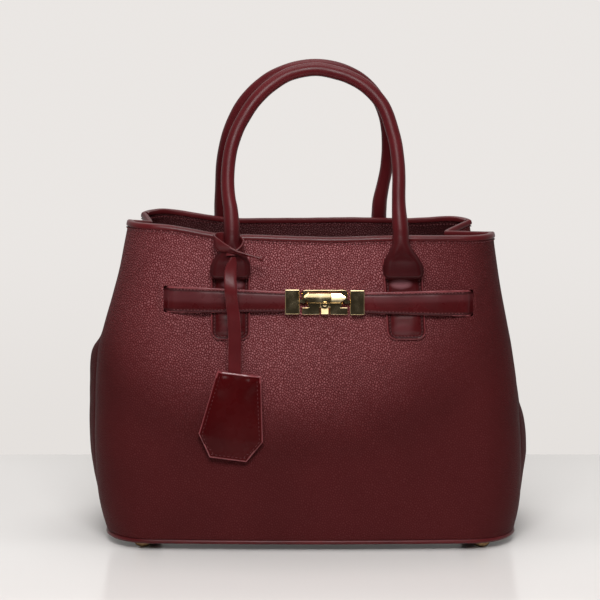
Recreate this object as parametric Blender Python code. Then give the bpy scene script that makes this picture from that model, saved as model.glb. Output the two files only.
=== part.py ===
"""Leather tote bag with two rolled handles, a front belt with a turning clasp, and a hanging key fob.

Metres, +Z up, front towards -Y. The bag stands on four feet with the origin on the floor under its middle.
"""
import math

import bmesh
import bpy
from mathutils import Vector

# Bag body
BASE_WIDTH = 0.320
BASE_DEPTH = 0.150
BASE_CORNER_RADIUS = 0.038
RIM_WIDTH = 0.280
RIM_DEPTH = 0.104
RIM_CORNER_RADIUS = 0.027
FRONT_RIM_HEIGHT = 0.2360
BACK_RIM_HEIGHT = 0.2395
LEFT_RIM_HEIGHT = 0.2455
RIM_LIFT_START = 0.055
RIM_LIFT_RUN = 0.055
FRONT_BOW = 0.003
DEPTH_BULGE = 0.0025
LEFT_FULLNESS = 0.0185
LEFT_FULLNESS_SKEW = 0.75
LEFT_FULLNESS_POWER = 1.2
RIGHT_FULLNESS = 0.0118
RIGHT_FULLNESS_SKEW = 0.62
RIGHT_FULLNESS_POWER = 1.5
LEFT_BACK_TUCK = 0.0065
RIGHT_BACK_TUCK = 0.0115
BACK_TUCK_START = 0.55
LEFT_GUSSET_FOLD = 0.010
LEFT_GUSSET_BULGE = 0.0040
LEFT_FOLD_START = 0.50
RIGHT_GUSSET_FOLD = 0.026
RIGHT_GUSSET_BULGE = 0.0030
RIGHT_FOLD_START = 0.28
GUSSET_DIP = 0.004

# Leather, lining and clearances
PANEL_THICKNESS = 0.0020
FACING_THICKNESS = 0.0011
LINING_THICKNESS = 0.0008
LINING_OVERLAP = 0.003
BINDING_THICKNESS = 0.0010
BINDING_HEIGHT = 0.0040
GAP = 0.0003
RUNNING_GAP = 0.0001
FORM_OVERLAP = 0.0002
CUTTER_REACH = 0.010

# Bottom
FOOT_HEIGHT = 0.0048
FOOT_RADIUS = 0.0068
FOOT_TREAD_RADIUS = 0.0044
FOOT_SHANK_RADIUS = 0.0015
FOOT_INSET_X = 0.030
FOOT_INSET_Y = 0.016
WASHER_THICKNESS = 0.0008
WASHER_RADIUS = 0.0050
PIPING_RADIUS = 0.0018
BASE_PANEL_THICKNESS = 0.0020
BASE_BOARD_THICKNESS = 0.0020

# Handles
HANDLE_SPAN = 0.128
HANDLE_RISE = 0.1195
HANDLE_RADIUS = 0.0052
HANDLE_WALL = 0.0016
HANDLE_LEAN = math.radians(11.8)
HANDLE_HINGE_RISE = 0.011
HANDLE_STANDOFF = 0.0015
FRONT_HANDLE_X = 0.001
FRONT_HANDLE_SKEW = 0.0
BACK_HANDLE_X = -0.0095
BACK_HANDLE_SKEW = 0.006
FLARE_WIDTH = 0.0305
FLARE_THICKNESS = 0.0096
FLARE_DROP = 0.0275
FLARE_END_PLUMP = 0.62
FLARE_END_NARROW = 0.92
FLARE_SQUARENESS = 0.8
TAB_WIDTH = 0.0298
TAB_LENGTH = 0.0610
TAB_THICKNESS = 0.0026
TAB_CORNER_RADIUS = 0.007
TAB_HIDDEN_LENGTH = 0.014
LEFT_TAB_SPLAY = 0.0010
RIGHT_TAB_SPLAY = 0.0036
RIGHT_TAB_LEAN = 0.0030

# Belt
BELT_THICKNESS = 0.0024
BELT_OUTER_WIDTH = 0.0195
BELT_INNER_WIDTH = 0.0149
BELT_TAIL_LENGTH = 0.005
BELT_TAIL_THICKNESS = 0.0008
BELT_LANDING = 0.004
BELT_RAMP = 0.009
BELT_FIRST_STEP = 0.006
LEFT_SLIT_X = -0.1112
RIGHT_SLIT_X = 0.1205
SLIT_WIDTH = 0.004
SLIT_MARGIN = 0.0005
LEFT_BEND_X = -0.0440
RIGHT_BEND_OFFSET = 0.0105
BELT_HEIGHT = 0.1901
LEFT_SLIT_RISE = 0.0020
RIGHT_SLIT_DROP = 0.0013

# Clasp
CLASP_X = 0.0093
PLATE_WIDTH = 0.0345
PLATE_HEIGHT = 0.0185
PLATE_THICKNESS = 0.0044
PLATE_SLOT_WIDTH = 0.0079
PLATE_SLOT_HEIGHT = 0.0054
NOTCH_LOW = 0.0040
NOTCH_HIGH = 0.0030
NOTCH_LOW_DEPTH = 0.0054
NOTCH_HIGH_DEPTH = 0.0027
CAP_LENGTH = 0.0108
CAP_HEIGHT = 0.0184
CAP_THICKNESS = 0.0052
CAP_LIFT = 0.0022
CAP_POCKET_DEPTH = 0.0080
CAP_TO_PLATE = 0.0018
CAP_CHAMFER = 0.0004
PLATE_CHAMFER = 0.0003
PLATE_CORNER_RADIUS = 0.0025
KNOB_RADIUS = 0.0017
KNOB_INSET = 0.0010
KNOB_RISE = 0.0006
KNOB_THICKNESS = 0.0024
KNOB_ROOT = 0.0008
NECK_HEIGHT = 0.0022
PIVOT_DROP = 0.0015
BAR_LENGTH = 0.0324
BAR_HEIGHT = 0.0084
BAR_THICKNESS = 0.0042
BAR_POINT = 0.0045
BAR_TIP_HEIGHT = 0.0012
BAR_FACE_INSET = 0.0013
BAR_RISE = 0.0051
HUB_RADIUS = 0.0036
HUB_TOP_RADIUS = 0.0035
HUB_THICKNESS = 0.0024
STEM_WIDTH = 0.0060
STEM_LENGTH = 0.0073
POST_RADIUS = 0.0012
POST_HEAD_RADIUS = 0.0017
POST_HEAD_THICKNESS = 0.0007
CLASP_WASHER_RADIUS = 0.0040

# Key fob
LACE_WIDTH = 0.0100
LACE_THICKNESS = 0.0018
LACE_LENGTH = 0.0865
LACE_TOP_DROP = 0.0105
LACE_FLARE_SHARE = 0.45
LACE_FREE_LENGTH = 0.0020
LACE_STOP_TAPER = 0.0014
LACE_STANDOFF = 0.0040
LACE_STOP_LENGTH = 0.0080
LACE_STOP_WIDTH = 0.0108
LACE_STOP_THICKNESS = 0.0034
LACE_OFFSET_X = 0.0030
LACE_DRIFT = 0.0012
LACE_BOW = 0.0020
LOOP_WIDTH = 0.0206
LOOP_TAIL_LENGTH = 0.024
LOOP_BAND_HEIGHT = 0.0100
LOOP_FRONT_HEIGHT = 0.0080
LOOP_TAIL_LIFT = 0.0012
LOOP_START_ANGLE = math.radians(10)
LOOP_END_ANGLE = math.radians(270)
LOOP_TAIL_HEIGHT = 0.0036
LOOP_DROP = 0.0070
FOB_SHIFT = 0.0036
FOB_TOP_WIDTH = 0.033
FOB_WIDTH = 0.049
FOB_BOTTOM_WIDTH = 0.028
FOB_SHOULDER = 0.050
FOB_LENGTH = 0.0670
FOB_LEAF_THICKNESS = 0.0017
FOB_CAVITY = 0.0021
FOB_MOUTH_WIDTH = 0.018
FOB_MOUTH_LENGTH = 0.020
FOB_TILT = math.radians(7.5)

# Magnetic snap
SNAP_RADIUS = 0.0070
SNAP_THICKNESS = 0.0022
SNAP_NUB_RADIUS = 0.0026
SNAP_NUB_LENGTH = 0.0014
SNAP_CHAMFER = 0.0006
SNAP_TO_LINING_EDGE = 0.002

# Mesh density
ARC_STEPS = 4
FLAT_STEPS = 10
GUSSET_STEPS = 8
WALL_ROWS = (0.0, 0.09, 0.20, 0.32, 0.45, 0.58, 0.72)
TUBE_SIDES = 10
ARCH_STEPS = 14
ROUND_SIDES = 16
FOOT_SIDES = 14
FLARE_SIDES = 12
FLARE_ROWS = (0.0, 0.14, 0.30, 0.45, 0.60, 0.76, 0.91)
FOB_COLUMNS = (-1.0, -0.82, -0.55, -0.28, 0.0, 0.28, 0.55, 0.82, 1.0)
FOB_UPPER_ROWS = (0.0, 0.13, 0.27, 0.51, 0.75, 0.96)
FOB_LOWER_ROWS = (0.12, 0.6, 1.0)
LACE_ROWS = (0.12, 0.3, 0.5, 0.7, 0.88, 1.0)
LOOP_STEPS = 12

# Levels of the bottom layers
BASE_PANEL_BOTTOM = FOOT_HEIGHT + GAP
BASE_PANEL_TOP = BASE_PANEL_BOTTOM + BASE_PANEL_THICKNESS
BASE_BOARD_BOTTOM = BASE_PANEL_TOP + GAP
BASE_BOARD_TOP = BASE_BOARD_BOTTOM + BASE_BOARD_THICKNESS
WASHER_BOTTOM = BASE_BOARD_TOP + GAP
WASHER_TOP = WASHER_BOTTOM + WASHER_THICKNESS
LINING_BOTTOM = WASHER_TOP + 2 * GAP
PIPING_HEIGHT = BASE_PANEL_BOTTOM + PIPING_RADIUS
PANEL_BOTTOM = PIPING_HEIGHT + PIPING_RADIUS + GAP
BASE_OUTLINE_OFFSET = PANEL_THICKNESS / 2 + PIPING_RADIUS + GAP

# Shares of the wall height where the facings, the lining and the rim bindings end
WALL_HEIGHT = FRONT_RIM_HEIGHT - PANEL_BOTTOM
FACING_BOTTOM = BELT_HEIGHT + LEFT_SLIT_RISE + BELT_OUTER_WIDTH / 2 + GAP
FACING_SHARE = (FACING_BOTTOM - PANEL_BOTTOM) / WALL_HEIGHT
LINING_SHARE = (FACING_BOTTOM + LINING_OVERLAP - PANEL_BOTTOM) / WALL_HEIGHT
BINDING_SHARE = 1 - BINDING_HEIGHT / WALL_HEIGHT
UPPER_SHARE = (LINING_SHARE + BINDING_SHARE) / 2

# Layers behind the outer skin
FACING_OFFSET = PANEL_THICKNESS + GAP
FACING_BACK = FACING_OFFSET + FACING_THICKNESS
LINING_OFFSET = FACING_BACK + GAP

SLOPE_STEP = 0.004

FRONT = -1
BACK = 1
LEFT = -1
RIGHT = 1

PEBBLED = ("pebbled_leather", (0.115, 0.018, 0.022), 0.55, 0.0)
SMOOTH = ("smooth_leather", (0.080, 0.008, 0.011), 0.38, 0.0)
CLOTH = ("lining_cloth", (0.030, 0.010, 0.012), 0.9, 0.0)
BOARD = ("stiffener_board", (0.09, 0.08, 0.07), 0.85, 0.0)
CORD = ("cotton_cord", (0.60, 0.55, 0.46), 0.9, 0.0)
GOLD = ("gold_metal", (0.80, 0.60, 0.30), 0.18, 1.0)
STEEL = ("plated_steel", (0.62, 0.60, 0.57), 0.3, 1.0)


def clear_scene():
    for item in list(bpy.data.objects):
        bpy.data.objects.remove(item, do_unlink=True)


def material(finish):
    name, colour, roughness, metallic = finish
    found = bpy.data.materials.get(name)
    if found:
        return found
    made = bpy.data.materials.new(name)
    made.use_nodes = True
    shader = made.node_tree.nodes["Principled BSDF"]
    shader.inputs["Base Color"].default_value = (*colour, 1.0)
    shader.inputs["Roughness"].default_value = roughness
    shader.inputs["Metallic"].default_value = metallic
    return made


def pivot(name, place):
    """An empty on a joint's axis, which carries the pieces that turn about it."""
    empty = bpy.data.objects.new(name, None)
    bpy.context.collection.objects.link(empty)
    empty.location = place
    empty.empty_display_size = 0.01
    empty.parent = bpy.data.objects["bag"]
    return empty


def add_piece(name, points, faces, finish, carrier=None, smooth=40):
    """One closed piece from points in the bag's own frame, carried by the bag or by a pivot."""
    carrier = carrier or bpy.data.objects["bag"]
    home = Vector(carrier.location) if carrier.parent else Vector()
    mesh = bpy.data.meshes.new(name)
    mesh.from_pydata([Vector(point) - home for point in points], [], faces)
    work = bmesh.new()
    work.from_mesh(mesh)
    bmesh.ops.recalc_face_normals(work, faces=work.faces)
    work.to_mesh(mesh)
    work.free()
    mesh.shade_smooth()
    mesh.set_sharp_from_angle(angle=math.radians(smooth))
    piece = bpy.data.objects.new(name, mesh)
    bpy.context.collection.objects.link(piece)
    piece.parent = carrier
    if finish:
        mesh.materials.append(material(finish))
    else:
        piece.hide_render = True
        piece.display_type = "WIRE"
    return piece


def combine(piece, tool, operation):
    cut = piece.modifiers.new(operation.lower() + "_" + tool.name, "BOOLEAN")
    cut.operation = operation
    cut.solver = "EXACT"
    cut.object = tool


def soften(piece, width):
    """A narrow chamfer along the sharp edges of a metal piece."""
    bevel = piece.modifiers.new("edge_chamfer", "BEVEL")
    bevel.width = width
    bevel.segments = 1
    bevel.limit_method = "ANGLE"
    bevel.angle_limit = math.radians(40)


def lerp(first, second, share):
    return first + (second - first) * share


def ease(value):
    value = min(1.0, max(0.0, value))
    return value * value * (3 - 2 * value)


def rim_height(x, side):
    """The top edge is level in the middle and stands higher towards the left corner."""
    middle = FRONT_RIM_HEIGHT if side == FRONT else BACK_RIM_HEIGHT
    return lerp(middle, LEFT_RIM_HEIGHT, ease((-x - RIM_LIFT_START) / RIM_LIFT_RUN))


def half_width(share, side, depth_place):
    """Half the bag's width at a share of the wall height; the back draws in towards the mouth."""
    fullness, skew, power, tuck = LEFT_FULLNESS, LEFT_FULLNESS_SKEW, LEFT_FULLNESS_POWER, LEFT_BACK_TUCK
    if side == RIGHT:
        fullness, skew, power = RIGHT_FULLNESS, RIGHT_FULLNESS_SKEW, RIGHT_FULLNESS_POWER
        tuck = RIGHT_BACK_TUCK
    bulge = fullness * math.sin(math.pi * share ** skew) ** power if 0 < share < 1 else 0.0
    tuck *= ease((share - BACK_TUCK_START) / (1 - BACK_TUCK_START)) * (1 + depth_place) / 2
    return lerp(BASE_WIDTH / 2, RIM_WIDTH / 2, share) + bulge - tuck


def corner_radius(share):
    return lerp(BASE_CORNER_RADIUS, RIM_CORNER_RADIUS, share)


def corner_depth(share):
    """Distance from the middle plane to the face, where its round corners begin."""
    straight = lerp(BASE_DEPTH / 2, RIM_DEPTH / 2, share) - FRONT_BOW
    return straight + DEPTH_BULGE * math.sin(math.pi * min(max(share, 0.0), 1.0))


def skin_depth(x, z, side):
    """Distance from the middle plane to the outer skin of the front or back."""
    share = (z - PANEL_BOTTOM) / (rim_height(x, side) - PANEL_BOTTOM)
    plan = panel_plan(share, side)
    for (x_before, y_before), (x_after, y_after) in zip(plan, plan[1:]):
        if x <= x_after:
            return side * lerp(y_before, y_after, (x - x_before) / (x_after - x_before))
    return side * plan[-1][1]


def skin_slope(x, z, side):
    return (skin_depth(x, z + SLOPE_STEP, side) - skin_depth(x, z - SLOPE_STEP, side)) / (2 * SLOPE_STEP)


def skin_point(x, z, side, lift):
    """A point at a distance out of the front or back skin, square to its slope."""
    out = Vector((0, side, -skin_slope(x, z, side))).normalized()
    return Vector((x, side * skin_depth(x, z, side), z)) + out * lift


class Seat:
    """A frame on the front or back skin: right, out of the leather, and up along it."""

    def __init__(self, x, z, side):
        slope = skin_slope(x, z, side)
        self.origin = skin_point(x, z, side, 0.0)
        self.right = Vector((1, 0, 0))
        self.up = Vector((0, side * slope, 1)).normalized()
        self.out = Vector((0, side, -slope)).normalized()

    def at(self, right, out, up):
        return self.origin + self.right * right + self.out * out + self.up * up


def panel_plan(share, side):
    """The skin of the front or back in plan, from its left seam to its right seam."""
    radius = corner_radius(share)
    depth = corner_depth(share)
    left = half_width(share, LEFT, side) - radius
    right = half_width(share, RIGHT, side) - radius
    plan = []
    for step in range(ARC_STEPS):
        angle = math.pi / 2 * step / ARC_STEPS
        plan.append((-left - radius * math.cos(angle), depth - radius + radius * math.sin(angle)))
    for step in range(FLAT_STEPS + 1):
        x = lerp(-left, right, step / FLAT_STEPS)
        bow = FRONT_BOW * (1 - (x / (left if x < 0 else right)) ** 2)
        plan.append((x, depth + bow))
    for step in range(1, ARC_STEPS + 1):
        angle = math.pi / 2 * (1 - step / ARC_STEPS)
        plan.append((right + radius * math.cos(angle), depth - radius + radius * math.sin(angle)))
    return [(x, side * y) for x, y in plan]


def gusset_plan(share, side):
    """The skin of a gusset in plan, between its two seams, from front to back."""
    reach = corner_depth(share) - corner_radius(share)
    fold, bulge, start = LEFT_GUSSET_FOLD, LEFT_GUSSET_BULGE, LEFT_FOLD_START
    if side == RIGHT:
        fold, bulge, start = RIGHT_GUSSET_FOLD, RIGHT_GUSSET_BULGE, RIGHT_FOLD_START
    fold *= ease((share - start) / (1 - start))
    bulge *= math.sin(math.pi * min(1.0, max(share, 0.0)))
    plan = []
    for step in range(1, GUSSET_STEPS):
        place = -1 + 2 * step / GUSSET_STEPS
        out = bulge * (1 - place * place) - fold * (1 - abs(place))
        plan.append((side * (half_width(share, side, place) + out), reach * place))
    return plan


def inset(plan, distance):
    """A closed plan moved inwards by a distance, with mitred corners."""
    moved = []
    count = len(plan)
    for index in range(count):
        before = Vector(plan[index - 1])
        here = Vector(plan[index])
        after = Vector(plan[(index + 1) % count])
        first = (here - before).normalized()
        second = (after - here).normalized()
        first_normal = Vector((-first.y, first.x))
        second_normal = Vector((-second.y, second.x))
        mitre = (first_normal + second_normal) / (1 + first_normal.dot(second_normal))
        moved.append(here + mitre * distance)
    return moved


PANEL_POINTS = 2 * ARC_STEPS + FLAT_STEPS + 1
FRONT_SPAN = (0, PANEL_POINTS - 1)
RIGHT_SPAN = (FRONT_SPAN[1], FRONT_SPAN[1] + GUSSET_STEPS)
BACK_SPAN = (RIGHT_SPAN[1], RIGHT_SPAN[1] + PANEL_POINTS - 1)
LEFT_SPAN = (BACK_SPAN[1], BACK_SPAN[1] + GUSSET_STEPS)


def wall_top(plan):
    """The rim's height over each point of the closed plan."""
    tops = []
    for index, (x, y) in enumerate(plan):
        if index <= FRONT_SPAN[1]:
            tops.append(rim_height(x, FRONT))
        elif BACK_SPAN[0] <= index <= BACK_SPAN[1]:
            tops.append(rim_height(x, BACK))
        else:
            on_right = index < BACK_SPAN[0]
            start, end = RIGHT_SPAN if on_right else (LEFT_SPAN[1], LEFT_SPAN[0])
            place = (index - start) / (end - start)
            corner = plan[RIGHT_SPAN[0]][0] if on_right else plan[LEFT_SPAN[0]][0]
            level = lerp(rim_height(corner, FRONT), rim_height(corner, BACK), place)
            tops.append(level - GUSSET_DIP * (1 - abs(2 * place - 1)))
    return tops


def wall_ring(share, distance, drop=0.0):
    """The whole wall in plan at one share of its height, a distance inside the skin."""
    plan = panel_plan(share, FRONT) + gusset_plan(share, RIGHT)
    plan += list(reversed(panel_plan(share, BACK))) + list(reversed(gusset_plan(share, LEFT)))
    tops = wall_top(panel_plan(1.0, FRONT) + gusset_plan(1.0, RIGHT)
                    + list(reversed(panel_plan(1.0, BACK))) + list(reversed(gusset_plan(1.0, LEFT))))
    ring = []
    for point, top in zip(inset(plan, distance), tops):
        ring.append(Vector((point.x, point.y, lerp(PANEL_BOTTOM, top, share) - drop)))
    return ring


def trimmed(ring, span, trim):
    """One stretch of the wall, drawn in a little from the seams at its ends."""
    points = [ring[index % len(ring)].copy() for index in range(span[0], span[1] + 1)]
    for end, neighbour in ((0, 1), (-1, -2)):
        along = points[neighbour] - points[end]
        points[end] += along.normalized() * trim
    return points


def shell(name, outer, inner, finish, carrier=None):
    """A closed sheet between two grids of points."""
    rows = len(outer)
    columns = len(outer[0])
    points = [point for row in outer for point in row] + [point for row in inner for point in row]
    back = rows * columns
    faces = []
    for row in range(rows - 1):
        for column in range(columns - 1):
            a = row * columns + column
            quad = (a, a + 1, a + columns + 1, a + columns)
            faces.append(quad)
            faces.append(tuple(back + corner for corner in reversed(quad)))
    border = list(range(columns))
    border += [row * columns + columns - 1 for row in range(1, rows)]
    border += [(rows - 1) * columns + column for column in range(columns - 2, -1, -1)]
    border += [row * columns for row in range(rows - 2, 0, -1)]
    for here, after in zip(border, border[1:] + border[:1]):
        faces.append((after, here, back + here, back + after))
    return add_piece(name, points, faces, finish, carrier)


def loft(name, rings, finish, carrier=None, closed=False, smooth=40):
    """A closed piece skinned over rings of equally many points."""
    sides = len(rings[0])
    points = [point for ring in rings for point in ring]
    faces = []
    steps = len(rings) if closed else len(rings) - 1
    for step in range(steps):
        first = step * sides
        second = (step + 1) % len(rings) * sides
        for side in range(sides):
            after = (side + 1) % sides
            faces.append((first + side, first + after, second + after, second + side))
    if not closed:
        faces.append(tuple(reversed(range(sides))))
        faces.append(tuple(range(len(points) - sides, len(points))))
    return add_piece(name, points, faces, finish, carrier, smooth)


def circle(centre, first_axis, second_axis, radius, sides):
    ring = []
    for side in range(sides):
        angle = 2 * math.pi * (side + 0.5) / sides
        ring.append(centre + (first_axis * math.cos(angle) + second_axis * math.sin(angle)) * radius)
    return ring


def turned(name, seat, profile, sides, finish, carrier=None, bored=False):
    """A round piece about a seat's outward line, from (radius, distance out) pairs."""
    rings = [circle(seat.at(0, out, 0), seat.right, seat.up, radius, sides) for radius, out in profile]
    return loft(name, rings, finish, carrier, closed=bored, smooth=30)


def prism(name, outline, seat, low, high, finish, carrier=None):
    """An outline of (right, up) pairs raised between two distances out of a seat."""
    rings = [[seat.at(right, out, up) for right, up in outline] for out in (low, high)]
    return loft(name, rings, finish, carrier)


def block(name, low, high, finish=None):
    xs, ys, zs = zip(low, high)
    rings = [[Vector((xs[i], ys[j], z)) for i, j in ((0, 0), (1, 0), (1, 1), (0, 1))] for z in zs]
    return loft(name, rings, finish)


def build_walls():
    """Front and back panels, gussets, facings and the folded bindings on their top edges."""
    rows = WALL_ROWS + (LINING_SHARE, UPPER_SHARE, BINDING_SHARE, 1.0)
    outer = [wall_ring(share, 0.0) for share in rows]
    inner = [wall_ring(share, PANEL_THICKNESS) for share in rows]
    spans = {"front_panel": FRONT_SPAN, "right_gusset": RIGHT_SPAN, "back_panel": BACK_SPAN,
             "left_gusset": LEFT_SPAN}
    for name, span in spans.items():
        shell(name, [trimmed(ring, span, GAP / 2) for ring in outer],
              [trimmed(ring, span, GAP / 2) for ring in inner], PEBBLED)

    for name, span in (("front_facing", FRONT_SPAN), ("back_facing", BACK_SPAN)):
        shares = (FACING_SHARE, LINING_SHARE, UPPER_SHARE, BINDING_SHARE, 1.0)
        shell(name, [trimmed(wall_ring(share, FACING_OFFSET), span, PANEL_THICKNESS) for share in shares],
              [trimmed(wall_ring(share, FACING_BACK), span, PANEL_THICKNESS) for share in shares], PEBBLED)

    for name, span in spans.items():
        has_facing = span in (FRONT_SPAN, BACK_SPAN)
        stack = FACING_BACK if has_facing else PANEL_THICKNESS
        binding(name.replace("_panel", "_rim") + "_binding", span, stack)


def binding(name, span, stack):
    """A strip folded over a top edge, as an upside-down channel."""
    outside = -GAP - BINDING_THICKNESS
    inside = stack + GAP + BINDING_THICKNESS
    low = BINDING_SHARE
    top = -GAP - BINDING_THICKNESS
    section = ((outside, low, 0.0), (outside, 1.0, top), (inside, 1.0, top), (inside, low, 0.0),
               (inside - BINDING_THICKNESS, low, 0.0), (inside - BINDING_THICKNESS, 1.0, -GAP),
               (-GAP, 1.0, -GAP), (-GAP, low, 0.0))
    lines = [trimmed(wall_ring(share, distance, drop), span, 2 * GAP) for distance, share, drop in section]
    loft(name, [list(ring) for ring in zip(*lines)], SMOOTH)


def build_lining():
    """A cloth bag inside the walls, open at the top, its edge overlapping the facings."""
    shares = WALL_ROWS[1:] + (LINING_SHARE,)
    floor = LINING_BOTTOM
    outer = [[Vector((p.x, p.y, floor)) for p in wall_ring(0.0, LINING_OFFSET)]]
    outer += [wall_ring(share, LINING_OFFSET) for share in shares]
    inner = [wall_ring(share, LINING_OFFSET + LINING_THICKNESS) for share in reversed(shares)]
    inner_floor = wall_ring(0.0, LINING_OFFSET + LINING_THICKNESS)
    inner += [[Vector((p.x, p.y, floor + LINING_THICKNESS)) for p in inner_floor]]
    loft("lining", outer + inner, CLOTH)


def build_bottom():
    """Base panel, stiffener board, the piping round the seam, and the feet with their washers."""
    outline = wall_ring(0.0, BASE_OUTLINE_OFFSET)
    layers = (("base_panel", BASE_PANEL_BOTTOM, BASE_PANEL_TOP, PEBBLED),
              ("base_board", BASE_BOARD_BOTTOM, BASE_BOARD_TOP, BOARD))
    plates = [loft(name, [[Vector((p.x, p.y, z)) for p in outline] for z in (low, high)], finish)
              for name, low, high, finish in layers]

    centre = wall_ring(0.0, PANEL_THICKNESS / 2)
    rings = []
    for index, place in enumerate(centre):
        along = (centre[(index + 1) % len(centre)] - centre[index - 1]).normalized()
        across = Vector((along.y, -along.x, 0))
        middle = Vector((place.x, place.y, PIPING_HEIGHT))
        rings.append(circle(middle, across, Vector((0, 0, 1)), PIPING_RADIUS, 6))
    loft("bottom_piping", rings, SMOOTH, closed=True)

    holes = []
    for end in (FRONT, BACK):
        for side in (LEFT, RIGHT):
            place = (side * (BASE_WIDTH / 2 - FOOT_INSET_X), end * (BASE_DEPTH / 2 - FOOT_INSET_Y))
            label = ("front" if end == FRONT else "back") + ("_left" if side == LEFT else "_right")
            holes.append(place)
            build_foot(label, place)
    for number, (x, y) in enumerate(holes):
        tool = standing_round("foot_hole_cutter_%d" % number, x, y, None,
                              ((FOOT_SHANK_RADIUS + GAP, 0.0), (FOOT_SHANK_RADIUS + GAP, LINING_BOTTOM)))
        for plate in plates:
            combine(plate, tool, "DIFFERENCE")


def standing_round(name, x, y, finish, profile, bored=False):
    rings = [circle(Vector((x, y, z)), Vector((1, 0, 0)), Vector((0, 1, 0)), radius, FOOT_SIDES)
             for radius, z in profile]
    return loft(name, rings, finish, closed=bored, smooth=30)


def build_foot(label, place):
    shank_top = WASHER_TOP + GAP
    profile = ((FOOT_TREAD_RADIUS, 0.0), (0.86 * FOOT_RADIUS, 0.2 * FOOT_HEIGHT),
               (FOOT_RADIUS, 0.7 * FOOT_HEIGHT), (FOOT_RADIUS, FOOT_HEIGHT),
               (FOOT_SHANK_RADIUS, FOOT_HEIGHT), (FOOT_SHANK_RADIUS, shank_top))
    standing_round("foot_" + label, *place, GOLD, profile)
    hole = FOOT_SHANK_RADIUS + GAP
    washer = ((hole, WASHER_BOTTOM), (WASHER_RADIUS, WASHER_BOTTOM), (WASHER_RADIUS, WASHER_TOP),
              (hole, WASHER_TOP))
    standing_round("foot_washer_" + label, *place, STEEL, washer, bored=True)


def handle_hinge(x, side):
    """The place just above the rim where a handle leg bends."""
    depth = RIM_DEPTH / 2 + GAP + BINDING_THICKNESS + HANDLE_STANDOFF + HANDLE_RADIUS
    return Vector((x, side * depth, FRONT_RIM_HEIGHT + HANDLE_HINGE_RISE))


def handle_up(side):
    return Vector((0, -side * math.sin(HANDLE_LEAN), math.cos(HANDLE_LEAN)))


def arch_rings(middle_x, skew, side, radius, cap_angles):
    """Rings along one handle: round ends on the hinge line, leaning legs and a half-circle top."""
    half = HANDLE_SPAN / 2
    up = handle_up(side)
    right = Vector((1, 0, 0))
    across = right.cross(up)
    base = handle_hinge(middle_x, side)
    leg = HANDLE_RISE - half
    stations = [(-half, -radius * math.sin(a), -right, radius * math.cos(a)) for a in cap_angles]
    stations.append((-half, leg / 2, -right, radius))
    for step in range(ARCH_STEPS + 1):
        angle = math.pi * step / ARCH_STEPS
        out = -right * math.cos(angle) + up * math.sin(angle)
        stations.append((-half * math.cos(angle), leg + half * math.sin(angle), out, radius))
    stations.append((half, leg / 2, right, radius))
    for a in reversed(cap_angles):
        stations.append((half, -radius * math.sin(a), right, radius * math.cos(a)))
    rings = []
    for x, rise, out, size in stations:
        x += skew * rise / HANDLE_RISE
        rings.append(circle(base + right * x + up * rise, out, across, size, TUBE_SIDES))
    return rings


def build_handle(label, middle_x, skew, side):
    """One handle: a leather wrap round a cord core, with its four fixed parts on the bag."""
    axis = pivot(label + "_handle_pivot", handle_hinge(middle_x, side))
    inner = HANDLE_RADIUS - HANDLE_WALL
    hole = HANDLE_RADIUS * math.cos(math.radians(76))
    outer_caps = [math.radians(angle) for angle in (76, 50, 25, 0)]
    inner_caps = [math.acos(hole / inner), math.radians(36), 0.0]
    outside = arch_rings(middle_x, skew, side, HANDLE_RADIUS, outer_caps)
    inside = arch_rings(middle_x, skew, side, inner, inner_caps)
    loft(label + "_handle_wrap", outside + list(reversed(inside)), SMOOTH, axis, closed=True, smooth=60)
    core_caps = [math.radians(angle) for angle in (66, 33, 0)]
    filling = arch_rings(middle_x, skew, side, inner - GAP, core_caps)
    loft(label + "_handle_core", filling, CORD, axis, smooth=60)

    for name, end in (("left", LEFT), ("right", RIGHT)):
        leg_x = middle_x + end * HANDLE_SPAN / 2
        tab_x = leg_x + (RIGHT_TAB_SPLAY if end == RIGHT else LEFT_TAB_SPLAY)
        lean = RIGHT_TAB_LEAN if end == RIGHT else 0.0
        build_handle_base("handle_base_%s_%s" % (label, name), leg_x, tab_x, side)
        build_tab("handle_tab_%s_%s" % (label, name), tab_x, lean, side)


def flare_levels():
    """Top and bottom of the flared end of a handle leg."""
    top = FRONT_RIM_HEIGHT + HANDLE_HINGE_RISE - (HANDLE_RADIUS + GAP) * math.cos(HANDLE_LEAN)
    return top, FRONT_RIM_HEIGHT - FLARE_DROP


def flare_section(x_leg, x_tab, side, share, plump=1.0):
    """Centre, half width and half thickness of the flare at a share of its length."""
    top, bottom = flare_levels()
    z = lerp(top, bottom, share)
    wide = lerp(HANDLE_RADIUS, FLARE_WIDTH / 2, ease((share - 0.08) / 0.62))
    thick = lerp(HANDLE_RADIUS, FLARE_THICKNESS / 2, ease(share)) * plump
    x = lerp(x_leg, x_tab, ease(share))
    hinge = handle_hinge(x_leg, side)
    hanging = abs(hinge.y) + (hinge.z - z) * math.tan(HANDLE_LEAN)
    seated = skin_depth(x, z, side) + TAB_THICKNESS + 2 * GAP + thick
    y = side * lerp(hanging, seated, ease(share / 0.6))
    return Vector((x, y, z)), wide, thick


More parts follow.
